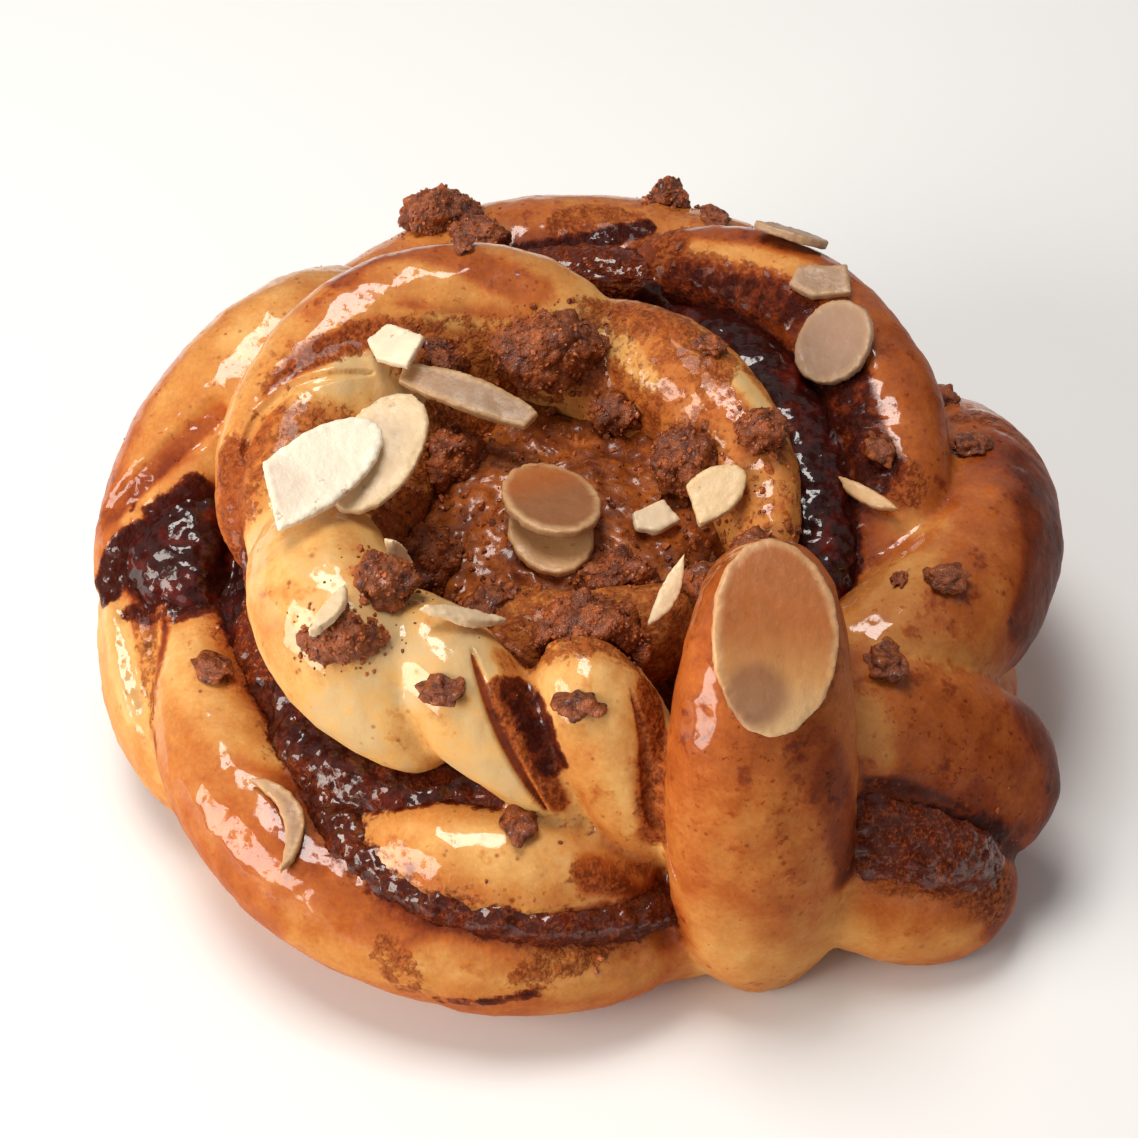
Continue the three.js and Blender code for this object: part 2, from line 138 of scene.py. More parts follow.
class Nodes:
    """Adds nodes to one tree and joins their sockets."""

    STORE = "GeometryNodeStoreNamedAttribute"

    def __init__(self, tree: Tree) -> None:
        """Holds the tree."""
        self.tree = tree

    def add(self, kind: str, feeds: dict[Any, Any] | None = None, **settings: Any) -> Node:
        """Adds a node.

        Args:
            kind: The node's type name.
            feeds: Input names or places, each with a value or a socket to link.
            **settings: The node's own settings.

        Returns:
            The node.
        """
        node = self.tree.nodes.new(kind)
        for name, value in settings.items():
            setattr(node, name, value)
        for key, value in (feeds or {}).items():
            self.feed(node.inputs[key], value)
        return node

    def feed(self, socket: Socket, value: Any) -> None:
        """Links a socket to an input, or sets the input's value.

        Args:
            socket: The input.
            value: A socket or a plain value.
        """
        if isinstance(value, Socket):
            self.tree.links.new(value, socket)
        else:
            socket.default_value = value

    def shade(self, inputs: dict[str, Any]) -> None:
        """Feeds inputs of a material's shader by name."""
        for name, value in inputs.items():
            self.feed(self.tree.nodes["Principled BSDF"].inputs[name], value)

    def math(self, operation: str, first: Any, second: Any, clamp: bool = False) -> Socket:
        """The result of a named operation on two values, kept from 0 to 1 where clamped."""
        node = self.add("ShaderNodeMath", {0: first, 1: second}, operation=operation, use_clamp=clamp)
        return node.outputs[0]

    def plus(self, first: Any, second: Any, clamp: bool = False) -> Socket:
        """Two values added, kept from 0 to 1 where clamped."""
        return self.math("ADD", first, second, clamp)

    def minus(self, first: Any, second: Any) -> Socket:
        """The first value less the second."""
        return self.math("SUBTRACT", first, second)

    def times(self, first: Any, second: Any) -> Socket:
        """Two values multiplied."""
        return self.math("MULTIPLY", first, second)

    def scaled(self, vector: Any, share: Any) -> Socket:
        """A vector made longer or shorter."""
        return self.add("ShaderNodeVectorMath", {0: vector, "Scale": share}, operation="SCALE").outputs[0]

    def step(self, value: Any, low: float, high: float, bottom: float = 0.0, top: float = 1.0) -> Socket:
        """A soft step of a value from bottom at low to top at high."""
        feeds = {"Value": value, "From Min": low, "From Max": high, "To Min": bottom, "To Max": top}
        return self.add("ShaderNodeMapRange", feeds, interpolation_type="SMOOTHSTEP").outputs["Result"]

    def mix(self, share: Any, first: Any, second: Any, blend: str = "MIX") -> Socket:
        """A mix of two colours by the share of the second, from 0 to 1, in a way of blending."""
        node = self.add("ShaderNodeMix", {0: share, 6: first, 7: second}, data_type="RGBA", blend_type=blend)
        return node.outputs[2]

    def ramp(self, value: Any, stops: Stops) -> Socket:
        """A colour read from a row of stops.

        Args:
            value: Where to read.
            stops: Places from 0 to 1 and their colours.

        Returns:
            The colour's socket.
        """
        node = self.add("ShaderNodeValToRGB", {"Fac": value})
        elements = node.color_ramp.elements
        while len(elements) < len(stops):
            elements.new(0.5)
        for element, (place, colour) in zip(elements, stops):
            element.position = place
            element.color = colour
        return node.outputs["Color"]

    def noise(self, vector: Any, scale: Any, detail: float = 2.0, roughness: float = 0.5) -> Socket:
        """Cloudy noise from 0 to 1, by its clouds in a metre, its finer layers and how strong they are."""
        feeds = {"Vector": vector, "Scale": scale, "Detail": detail, "Roughness": roughness}
        return self.add("ShaderNodeTexNoise", feeds).outputs["Fac"]

    def waver(self, vector: Any, scale: Any, detail: float = 2.0, roughness: float = 0.5) -> Socket:
        """Cloudy noise about zero, with the same inputs as the noise from 0 to 1."""
        return self.minus(self.noise(vector, scale, detail, roughness), 0.5)

    def attribute(self, name: str) -> Socket:
        """A number kept on the mesh under a name."""
        return self.add("ShaderNodeAttribute", attribute_name=name, attribute_type="GEOMETRY").outputs["Fac"]

    def place(self) -> Socket:
        """The place on the object, in metres."""
        return self.add("ShaderNodeTexCoord").outputs["Object"]

    def group(self, tree: Tree, place: Socket, **inputs: Any) -> Node:
        """A node that reads a shared effect at a place, with its other inputs by name."""
        return self.add("ShaderNodeGroup", {"Vector": place, **inputs}, node_tree=tree)

    def raised(self, geometry: Socket, height: Socket) -> Socket:
        """A geometry raised along its normals."""
        offset = self.scaled(self.add("GeometryNodeInputNormal").outputs[0], height)
        return self.add("GeometryNodeSetPosition", {"Geometry": geometry, "Offset": offset}).outputs[0]

    def toned(self, geometry: Socket, tone: Socket, domain: str) -> Socket:
        """A geometry with a tone kept for each of its points or instances."""
        feeds = {"Geometry": geometry, "Name": "tone", "Value": tone}
        return self.add(self.STORE, feeds, data_type="FLOAT", domain=domain).outputs[0]


class GroupBuilder:
    """Makes a node group with named inputs and outputs."""

    def __init__(self, name: str, kind: str) -> None:
        """Starts an empty group.

        Args:
            name: The group's name.
            kind: The kind of tree.
        """
        self.tree = bpy.data.node_groups.new(name, kind)
        self.nodes = Nodes(self.tree)
        self.inside = self.tree.nodes.new("NodeGroupInput")
        self.outside = self.tree.nodes.new("NodeGroupOutput")

    def input(self, name: str, kind: str) -> None:
        """Adds a named input."""
        self.tree.interface.new_socket(name=name, in_out="INPUT", socket_type=kind)

    def numbers(self, values: dict[str, float]) -> None:
        """Adds named number inputs.

        Args:
            values: The inputs' names and what each holds unless it is set.
        """
        for name, value in values.items():
            kind = "NodeSocketInt" if isinstance(value, int) else "NodeSocketFloat"
            socket = self.tree.interface.new_socket(name=name, in_out="INPUT", socket_type=kind)
            socket.default_value = value

    def output(self, name: str, kind: str) -> None:
        """Adds a named output."""
        self.tree.interface.new_socket(name=name, in_out="OUTPUT", socket_type=kind)

    def get(self, name: str) -> Socket:
        """A named input, as read inside the group."""
        return self.inside.outputs[name]

    def put(self, name: str, socket: Socket) -> None:
        """Sends a socket to a named output."""
        self.tree.links.new(socket, self.outside.inputs[name])


class ShaderGroups:
    """The effects that several finishes share."""

    PATCHY = (260.0, 5.0, 0.72)
    HOLES = (850.0, 4.0, 0.65)
    STREWN = (130.0, 3.0, 0.6)
    FINER = 2.7

    def __init__(self) -> None:
        """Builds each group once."""
        self.blotches = self._blotches()
        self.grains = self._grains()
        self.skin = self._skin()

    def _start(self, name: str, values: dict[str, float], outputs: Sequence[str]) -> GroupBuilder:
        """Starts a group that reads a place and gives numbers.

        Args:
            name: The group's name.
            values: Its number inputs.
            outputs: Its outputs' names.

        Returns:
            The group.
        """
        made = GroupBuilder(name, "ShaderNodeTree")
        made.input("Vector", "NodeSocketVector")
        made.numbers(values)
        for output in outputs:
            made.output(output, "NodeSocketFloat")
        return made

    def _blotches(self) -> Tree:
        """Uneven patches at two sizes, about zero.

        Returns:
            The group.
        """
        made = self._start("blotches", {"Broad": 80.0, "Fine": 320.0}, ["Value"])
        nodes = made.nodes
        broad = nodes.waver(made.get("Vector"), made.get("Broad"), 3.0, 0.55)
        fine = nodes.waver(made.get("Vector"), made.get("Fine"), 3.0, 0.6)
        made.put("Value", nodes.plus(broad, nodes.times(fine, 0.6)))
        return made.tree

    def _grains(self) -> Tree:
        """Cinnamon grains that run together: where they lie, how light they are and how high they stand.

        Returns:
            The group.
        """
        made = self._start("grains", {"Scale": 700.0, "Cover": 0.5}, ["Mask", "Tone", "Height"])
        nodes = made.nodes
        coarse = nodes.noise(made.get("Vector"), made.get("Scale"), 3.0, 0.6)
        fine = nodes.noise(made.get("Vector"), nodes.times(made.get("Scale"), self.FINER))
        both = nodes.plus(nodes.times(coarse, 0.6), nodes.times(fine, 0.4))
        cover = nodes.times(nodes.minus(made.get("Cover"), 0.5), 0.5)
        mask = nodes.step(nodes.plus(both, cover), 0.44, 0.6)
        tone = nodes.step(fine, 0.32, 0.68)
        made.put("Mask", mask)
        made.put("Tone", tone)
        made.put("Height", nodes.times(mask, tone))
        return made.tree

    def _skin(self) -> Tree:
        """A glazed skin: the height of its puckers, where its glaze is thick enough to shine, its specks.

        Returns:
            The group.
        """
        values = {"Pucker": 330.0, "Pits": 700.0, "Drops": 430.0, "Large Drops": 170.0, "Dust": 780.0}
        made = self._start("glazed skin", values, ["Height", "Gloss", "Specks"])
        nodes = made.nodes
        place = made.get("Vector")
        made.put("Height", nodes.noise(place, made.get("Pucker"), 4.0, 0.6))
        patchy = nodes.step(nodes.noise(place, *self.PATCHY), 0.37, 0.42, 0.1, 1.0)
        holes = nodes.step(nodes.noise(place, *self.HOLES), 0.39, 0.43, 0.15, 1.0)
        pits = self._dots(nodes, place, made.get("Pits"), 0.3, 0.36)
        made.put("Gloss", nodes.times(nodes.times(patchy, holes), nodes.minus(1.0, pits)))
        drops = self._dots(nodes, place, made.get("Drops"), 0.14, 0.22)
        large = nodes.math("MAXIMUM", drops, self._dots(nodes, place, made.get("Large Drops"), 0.07, 0.16))
        strewn = nodes.step(nodes.noise(place, *self.STREWN), 0.46, 0.6)
        dust = nodes.times(self._dots(nodes, place, made.get("Dust"), 0.4, 0.3), strewn)
        made.put("Specks", nodes.math("MAXIMUM", large, dust))
        return made.tree

    def _dots(self, nodes: Nodes, vector: Any, scale: Any, share: float, reach: float) -> Socket:
        """Round dots in a share of the cells of a loose grid.

        Args:
            nodes: The tree's nodes.
            vector: Where to read.
            scale: Cells in a metre.
            share: The share of the cells that have a dot.
            reach: A dot's radius in cells.

        Returns:
            The dots' socket, 1 in their middles.
        """
        cells = nodes.add("ShaderNodeTexVoronoi", {"Vector": vector, "Scale": scale})
        pick = nodes.add("ShaderNodeSeparateColor", {0: cells.outputs["Color"]})
        there = nodes.math("LESS_THAN", pick.outputs[0], share)
        return nodes.times(there, nodes.step(cells.outputs["Distance"], reach, 0.2 * reach))


# Finishes


@dataclass(frozen=True)
class Finish:
    """What every finish has: its shine, the coat over it, the light under its skin and its fine relief.

    The coat is a roughness and an index, the glow a weight and a reach, the bump a strength and a height.
    A noise is a scale, a number of finer layers and their strength.
    """

    roughness: float = 0.5
    specular: float = 0.5
    coat: Pair = (0.03, 1.5)
    glow: Pair = (0.0, 0.05)
    glow_radius: Triple = (1.0, 0.2, 0.1)
    bump: Pair = (1.0, 0.001)

    def start(self, name: str) -> tuple[Material, Nodes, Socket]:
        """Starts a material with the finish's constants.

        Args:
            name: The material's name.

        Returns:
            The material, its nodes and the place on the object.
        """
        material = bpy.data.materials.new(name)
        material.use_nodes = True
        nodes = Nodes(material.node_tree)
        nodes.shade({
            "Roughness": self.roughness,
            "Specular IOR Level": self.specular,
            "Coat Roughness": self.coat[0],
            "Coat IOR": self.coat[1],
            "Subsurface Weight": self.glow[0],
            "Subsurface Radius": self.glow_radius,
            "Subsurface Scale": self.glow[1],
        })
        return material, nodes, nodes.place()

    def relief(self, nodes: Nodes, height: Socket) -> Socket:
        """The normal of the fine relief that a height makes."""
        feeds = {"Strength": self.bump[0], "Distance": self.bump[1], "Height": height}
        return nodes.add("ShaderNodeBump", feeds).outputs["Normal"]


@dataclass(frozen=True)
class DoughFinish(Finish):
    """Egg-washed sweet dough under a wet glaze, from cream in the folds to deep brown on top."""

    stops: Stops = (
        (0.0, tint(214, 178, 126)),
        (0.2, tint(226, 174, 104)),
        (0.4, tint(208, 139, 70)),
        (0.6, tint(182, 96, 40)),
        (0.8, tint(138, 57, 17)),
        (1.0, tint(80, 26, 6)),
    )
    smear: Colour = tint(60, 17, 8)
    smear_thin: Colour = tint(116, 44, 16)
    speckle_dark: Colour = tint(100, 38, 13)
    speckle_light: Colour = tint(168, 86, 38)
    speck: Colour = tint(136, 62, 24)
    unevenness: Pair = (0.36, 0.792)
    fleck_depth: float = 0.18
    fleck_share: float = 0.09
    coarse_flecks: Triple = (330.0, 4.0, 0.65)
    fine_flecks: Triple = (1000.0, 3.0, 0.6)
    crumb: Triple = (1700.0, 3.0, 0.6)
    crumb_depth: float = 0.2
    ragged: Triple = (520.0, 4.0, 0.65)
    raggedness: float = 1.3
    grain_scale: float = 620.0
    grain_cover: float = 0.8
    grain_height: float = 0.9
    lumps: Triple = (900.0, 2.0, 0.6)
    lump_height: float = 1.6
    glints: Triple = (1100.0, 3.0, 0.6)
    roughness: float = 0.42
    specular: float = 0.06
    coat: Pair = (0.08, 1.55)
    glow: Pair = (0.1, 0.002)
    glow_radius: Triple = (1.0, 0.45, 0.2)
    bump: Pair = (0.4, 0.0005)

    def make(self, groups: ShaderGroups) -> Material:
        """Builds the dough's material.

        Args:
            groups: The shared effects.

        Returns:
            The material.
        """
        material, nodes, place = self.start("glazed_dough")
        marked = nodes.attribute(Mark.SPECKLE.value)
        cover = nodes.times(marked, self.grain_cover)
        grains = nodes.group(groups.grains, place, Scale=self.grain_scale, Cover=cover)
        speckle = nodes.times(grains.outputs["Mask"], nodes.step(marked, 0.03, 0.2, 0.0, 0.9))
        smear = self._smear(nodes, place)
        skin = nodes.group(groups.skin, place)
        grain_colour = nodes.mix(grains.outputs["Tone"], self.speckle_dark, self.speckle_light)
        smear_colour = nodes.mix(nodes.step(smear, 0.3, 1.0), self.smear_thin, self.smear)
        dotted = nodes.step(nodes.attribute(Mark.FLECK.value), 0.0, 0.7, 0.15, 0.9)
        colour = nodes.ramp(self._bake(nodes, place, groups), self.stops)
        colour = nodes.mix(speckle, colour, grain_colour)
        colour = nodes.mix(nodes.step(smear, 0.0, 0.5), colour, smear_colour)
        colour = nodes.mix(nodes.times(skin.outputs["Specks"], dotted), colour, self.speck)
        raised = nodes.times(nodes.times(grains.outputs["Height"], speckle), self.grain_height)
        wet = nodes.times(nodes.attribute(Mark.SMEAR.value), self.lump_height)
        lumps = nodes.times(nodes.noise(place, *self.lumps), wet)
        height = nodes.plus(skin.outputs["Height"], nodes.plus(raised, lumps))
        grainy = nodes.math("MAXIMUM", nodes.times(speckle, 0.85), nodes.step(marked, 0.5, 0.85, 0.0, 0.8))
        glaze = nodes.times(nodes.attribute("glaze"), nodes.minus(1.0, grainy))
        glints = nodes.step(nodes.noise(place, *self.glints), 0.54, 0.6)
        even = nodes.times(skin.outputs["Gloss"], nodes.minus(1.0, smear))
        shine = nodes.plus(even, nodes.times(glints, smear))
        nodes.shade({
            "Base Color": colour,
            "Normal": self.relief(nodes, height),
            "Coat Weight": nodes.times(glaze, shine),
        })
        return material

    def _bake(self, nodes: Nodes, place: Socket, groups: ShaderGroups) -> Socket:
        """How brown the dough is, with blotches and the flecks that browned first.

        Args:
            nodes: The material's nodes.
            place: The place on the object.
            groups: The shared effects.

        Returns:
            The value's socket, from 0 to 1.
        """
        baked = nodes.attribute(Mark.BAKE.value)
        blotch = nodes.group(groups.blotches, place).outputs["Value"]
        uneven = nodes.times(blotch, nodes.step(baked, 0.4, 0.1, *self.unevenness))
        more = nodes.times(nodes.attribute(Mark.FLECK.value), self.fleck_share)
        coarse = nodes.step(nodes.plus(nodes.noise(place, *self.coarse_flecks), more), 0.62, 0.78)
        fine = nodes.step(nodes.plus(nodes.noise(place, *self.fine_flecks), more), 0.69, 0.78)
        flecks = nodes.times(nodes.math("MINIMUM", nodes.plus(coarse, fine), 1.0), self.fleck_depth)
        crumb = nodes.times(nodes.waver(place, *self.crumb), self.crumb_depth)
        level = nodes.plus(baked, nodes.plus(uneven, crumb))
        return nodes.plus(level, flecks, clamp=True)

    def _smear(self, nodes: Nodes, place: Socket) -> Socket:
        """How thick the filling lies that is smeared on the dough, from 0 to 1."""
        ragged = nodes.times(nodes.waver(place, *self.ragged), self.raggedness)
        return nodes.step(nodes.plus(nodes.attribute(Mark.SMEAR.value), ragged), 0.35, 0.95)


@dataclass(frozen=True)
class FillingFinish(Finish):
    """Sticky filling: near-black and wet where it pools, brown and grainy where it lies thin."""

    jam_dark: Colour = tint(46, 9, 4)
    jam_light: Colour = tint(104, 24, 9)
    paste_dark: Colour = tint(92, 29, 8)
    paste_light: Colour = tint(156, 70, 25)
    grain_scale: float = 800.0
    grain_cover: float = 0.55
    clouds: Triple = (260.0, 4.0, 0.65)
    waves: Triple = (300.0, 2.0, 0.5)
    wave_height: float = 0.6
    gloss: Triple = (700.0, 4.0, 0.7)
    specular: float = 0.08
    coat: Pair = (0.06, 1.6)
    bump: Pair = (0.7, 0.0006)

    def make(self, groups: ShaderGroups) -> Material:
        """Builds the filling's material.

        Args:
            groups: The shared effects.

        Returns:
            The material.
        """
        material, nodes, place = self.start("dark_filling")
        grains = nodes.group(groups.grains, place, Scale=self.grain_scale, Cover=self.grain_cover)
        cloud = nodes.noise(place, *self.clouds)
        jam = nodes.mix(nodes.step(cloud, 0.45, 0.75), self.jam_dark, self.jam_light)
        lit = nodes.times(grains.outputs["Mask"], grains.outputs["Tone"])
        paste = nodes.mix(lit, self.paste_dark, self.paste_light)
        level = nodes.minus(nodes.attribute("wet"), nodes.minus(cloud, 0.5))
        rise = nodes.times(grains.outputs["Height"], nodes.step(level, 0.9, 0.2, 0.05, 0.7))
        height = nodes.plus(nodes.times(nodes.noise(place, *self.waves), self.wave_height), rise)
        gloss = nodes.step(nodes.noise(place, *self.gloss), 0.42, 0.54, 0.03, 1.0)
        shine = nodes.times(nodes.step(level, 0.0, 0.6, 0.6, 0.95), nodes.attribute("glaze"))
        nodes.shade({
            "Base Color": nodes.mix(nodes.step(level, 0.15, 0.95), paste, jam),
            "Normal": self.relief(nodes, height),
            "Coat Weight": nodes.times(shine, gloss),
        })
        return material


@dataclass(frozen=True)
class SpreadFinish(Finish):
    """Biscuit spread with a soft shine."""

    dark: Colour = tint(112, 48, 15)
    light: Colour = tint(180, 96, 38)
    blotches: Pair = (170.0, 700.0)
    waves: Triple = (420.0, 4.0, 0.6)
    gloss: Triple = (480.0, 4.0, 0.7)
    roughness_range: Pair = (0.5, 0.28)
    specular: float = 0.2
    coat: Pair = (0.16, 1.5)
    glow: Pair = (0.08, 0.002)
    glow_radius: Triple = (1.0, 0.4, 0.2)
    bump: Pair = (0.7, 0.0008)

    def make(self, groups: ShaderGroups) -> Material:
        """Builds the spread's material.

        Args:
            groups: The shared effects.

        Returns:
            The material.
        """
        material, nodes, place = self.start("biscuit_spread")
        broad, fine = self.blotches
        blotch = nodes.group(groups.blotches, place, Broad=broad, Fine=fine).outputs["Value"]
        share = nodes.step(blotch, -0.22, 0.22)
        nodes.shade({
            "Base Color": nodes.mix(share, self.dark, self.light),
            "Normal": self.relief(nodes, nodes.noise(place, *self.waves)),
            "Roughness": nodes.step(share, 0.0, 1.0, *self.roughness_range),
            "Coat Weight": nodes.step(nodes.noise(place, *self.gloss), 0.44, 0.54, 0.0, 0.8),
        })
        return material


@dataclass(frozen=True)
class CrumbleFinish(Finish):
    """Baked biscuit crumble, each grain a little lighter or darker, with painted shade on the clumps and
    stuck crumbs: darker in their hollows, lighter on their tops.
    """

    dark: Colour = tint(80, 29, 9)
    light: Colour = tint(190, 98, 40)
    blotches: Pair = (420.0, 1700.0)
    unevenness: float = 0.7
    pores: Triple = (2100.0, 3.0, 0.65)
    glints: Triple = (1500.0, 2.0, 0.6)
    roughness_range: Pair = (0.19, 0.54)
    coat: Pair = (0.15, 1.5)
    bump: Pair = (0.9, 0.0004)

    def make(self, groups: ShaderGroups) -> Material:
        """Builds the crumble's material.

        Args:
            groups: The shared effects.

        Returns:
            The material.
        """
        material, nodes, place = self.start("biscuit_crumble")
        broad, fine = self.blotches
        blotch = nodes.group(groups.blotches, place, Broad=broad, Fine=fine).outputs["Value"]
        # The kept tone holds painted shade on the clumps and stuck crumbs, darker in their hollows and
        # lighter on their tops; on the loose grains it is their own tone.
        tone = nodes.plus(nodes.attribute("tone"), nodes.times(blotch, self.unevenness), clamp=True)
        height = nodes.noise(place, *self.pores)
        nodes.shade({
            "Base Color": nodes.mix(tone, self.dark, self.light),
            "Normal": self.relief(nodes, height),
            "Roughness": nodes.step(height, 0.3, 0.7, *self.roughness_range),
            "Coat Weight": nodes.step(nodes.noise(place, *self.glints), 0.58, 0.64, 0.0, 0.6),
        })
        return material


@dataclass(frozen=True)
class AlmondFinish(Finish):
    """Sliced almond: each slice has its tone, from cream to amber and grey, with a slightly paler rim."""

    stops: Stops = (
        (0.0, tint(255, 240, 216)),
        (0.2, tint(228, 194, 146)),
        (0.4, tint(206, 148, 90)),
        (0.6, tint(176, 98, 45)),
        (0.75, tint(150, 98, 60)),
        (0.88, tint(156, 120, 80)),
        (1.0, tint(166, 130, 104)),
    )
    rim: Colour = tint(224, 184, 134)
    spot: Colour = tint(138, 88, 64)
    speck: Colour = tint(150, 84, 40)
    blotches: Pair = (160.0, 700.0)
    shade_range: Pair = (0.88, 1.06)
    unevenness: float = 0.4
    specks: Triple = (420.0, 3.0, 0.6)
    fibres: Triple = (620.0, 4.0, 0.6)
    roughness_range: Pair = (0.32, 0.5)
    glow: Pair = (0.2, 0.0012)
    glow_radius: Triple = (1.0, 0.65, 0.4)
    bump: Pair = (0.35, 0.0004)

    def make(self, groups: ShaderGroups) -> Material:
        """Builds the almond's material.

        Args:
            groups: The shared effects.

        Returns:
            The material.
        """
        material, nodes, place = self.start("sliced_almond")
        broad, fine = self.blotches
        blotch = nodes.group(groups.blotches, place, Broad=broad, Fine=fine).outputs["Value"]
        tone = nodes.attribute("tone")
        shade = nodes.step(blotch, -0.3, 0.3, *self.shade_range)
        grey = nodes.add("ShaderNodeCombineColor", {0: shade, 1: shade, 2: shade}).outputs[0]
        body = nodes.mix(1.0, nodes.ramp(tone, self.stops), grey, "MULTIPLY")
        uneven = nodes.times(blotch, self.unevenness)
        edge = nodes.step(nodes.plus(nodes.attribute("rim"), uneven), 0.5, 0.05)
        toned = nodes.times(nodes.step(tone, 0.3, 0.5, 0.0, 0.6), nodes.step(tone, 0.75, 0.95, 1.0, 0.4))
        colour = nodes.mix(nodes.times(edge, toned), body, self.rim)
        rare = nodes.step(nodes.noise(place, *self.specks), 0.64, 0.72, 0.0, 0.55)
        colour = nodes.mix(rare, colour, self.speck)
        stained = nodes.plus(nodes.attribute("spot"), uneven, clamp=True)
        height = nodes.noise(place, *self.fibres)
        nodes.shade({
            "Base Color": nodes.mix(stained, colour, self.spot),
            "Normal": self.relief(nodes, height),
            "Roughness": nodes.step(height, 0.3, 0.7, *self.roughness_range),
        })
        return material


# Meshes


@dataclass
class Surface:
    """Points in millimetres and the faces between them, with how far along its turn each point is."""

    points: Array
    faces: Faces
    along: Array


def link_object(name: str, data: bpy.types.ID) -> Object:
    """A new object in the scene.

    Args:
        name: The object's name.
        data: What it shows.

    Returns:
        The object.
    """
    made = bpy.data.objects.new(name, data)
    bpy.context.scene.collection.objects.link(made)
    return made


def make_object(name: str, points: Array, faces: Faces) -> Object:
    """A mesh object at the origin.

    Args:
        name: The object's name.
        points: Its points, in millimetres.
        faces: Its faces.

    Returns:
        The object, linked to the scene.
    """
    mesh = bpy.data.meshes.new(name)
    mesh.from_pydata((points * MM).tolist(), [], faces)
    mesh.update()
    return link_object(name, mesh)


def object_of(name: str, shape: bmesh.types.BMesh) -> Object:
    """An object of what a bmesh holds, which is freed.

    Args:
        name: The object's name.
        shape: The bmesh.

    Returns:
        The object, smooth and linked to the scene.
    """
    mesh = bpy.data.meshes.new(name)
    shape.to_mesh(mesh)
    shape.free()
    mesh.shade_smooth()
    return link_object(name, mesh)


def settle(made: Object) -> None:
    """Turns what an object's modifiers make into its plain mesh.

    Args:
        made: The object, which has no modifiers afterwards.
    """
    graph = bpy.context.evaluated_depsgraph_get()
    shown = made.evaluated_get(graph)
    mesh = bpy.data.meshes.new_from_object(shown, preserve_all_data_layers=True, depsgraph=graph)
    mesh.name = made.name
    made.modifiers.clear()
    old = made.data
    made.data = mesh
    bpy.data.meshes.remove(old)
    mesh.shade_smooth()


def read_vertices(made: Object, name: str) -> Array:
    """What an object's vertices hold under a name.

    Args:
        made: The object.
        name: The name of their places or normals.

    Returns:
        Three numbers for each vertex.
    """
    flat = np.empty(len(made.data.vertices) * 3)
    made.data.vertices.foreach_get(name, flat)
    return flat.reshape(-1, 3)


def points_of(made: Object) -> Array:
    """An object's points, in millimetres."""
    return read_vertices(made, "co") / MM


def normals_of(made: Object) -> Array:
    """An object's normals at its points."""
    return read_vertices(made, "normal")


def move_points(made: Object, points: Array) -> None:
    """Puts an object's points, in millimetres, at new places."""
    made.data.vertices.foreach_set("co", (points * MM).ravel())
    made.data.update()


def keep_attribute(made: Object, name: str, values: Array) -> None:
    """Keeps one number for each of an object's points under a name."""
    held = made.data.attributes.get(name) or made.data.attributes.new(name, "FLOAT", "POINT")
    held.data.foreach_set("value", np.asarray(values, dtype=np.float32))


def read_attribute(made: Object, name: str) -> Array:
    """The numbers kept for an object's points under a name.

    Args:
        made: The object.
        name: The attribute's name.

    Returns:
        A number for each point, 0 where none is kept.
    """
    values = np.zeros(len(made.data.vertices), dtype=np.float32)
    held = made.data.attributes.get(name)
    if held is not None:
        held.data.foreach_get("value", values)
    return values


def tree_of(made: Object) -> BVHTree:
    """A search tree over an object's faces, in metres."""
    faces = [tuple(face.vertices) for face in made.data.polygons]
    return BVHTree.FromPolygons([vert.co for vert in made.data.vertices], faces)


def point_tree(points: Array) -> KDTree:
    """A search tree over points.

    Args:
        points: The points.

    Returns:
        The tree, which gives their places in the list.
    """
    tree = KDTree(len(points))
    for i, point in enumerate(points):
        tree.insert(point, i)
    tree.balance()
    return tree


def nearest_face(tree: BVHTree, points: Array, reach: float) -> tuple[Array, Array]:
    """The face of a surface that is nearest to each point.

    Args:
        tree: The surface.
        points: The points, in millimetres.
        reach: The furthest distance that counts, in millimetres.

    Returns:
        The distances in millimetres, no more than the reach, and the faces, -1 past it.
    """
    gaps = np.full(len(points), reach)
    faces = np.full(len(points), -1)
    for i, point in enumerate(points * MM):
        _, _, face, gap = tree.find_nearest(point, reach * MM)
        if face is not None:
            gaps[i] = gap / MM
            faces[i] = face
    return gaps, faces


def remesh(made: Object, voxel: float, smoothing: int) -> None:
    """Joins an object's closed shells into one even skin.

    Args:
        made: The object.
        voxel: The skin's grain, in millimetres.
        smoothing: How many times it is smoothed.
    """
    joined = made.modifiers.new("join", "REMESH")
    joined.mode = "VOXEL"
    joined.voxel_size = voxel * MM
    joined.use_smooth_shade = True
    smoother = made.modifiers.new("smooth", "SMOOTH")
    smoother.factor = 0.5
    smoother.iterations = smoothing


def put_tree(made: Object, tree: Tree, values: dict[str, Any]) -> None:
    """Puts a Geometry Nodes tree on an object, with its inputs set by the identifiers of their sockets.

    Args:
        made: The object.
        tree: The tree.
        values: Input names and values.
    """
    modifier = made.modifiers.new(tree.name, "NODES")
    modifier.node_group = tree
    for item in tree.interface.items_tree:
        if item.item_type == "SOCKET" and item.in_out == "INPUT" and item.name in values:
            modifier[item.identifier] = values[item.name]


def start_tree(name: str, values: dict[str, float]) -> GroupBuilder:
    """Starts a Geometry Nodes tree.

    Args:
        name: The tree's name.
        values: Its number inputs.

    Returns:
        The tree's builder.
    """
    made = GroupBuilder(name, "GeometryNodeTree")
    made.input("Geometry", "NodeSocketGeometry")
    made.numbers(values)
    made.output("Geometry", "NodeSocketGeometry")
    return made


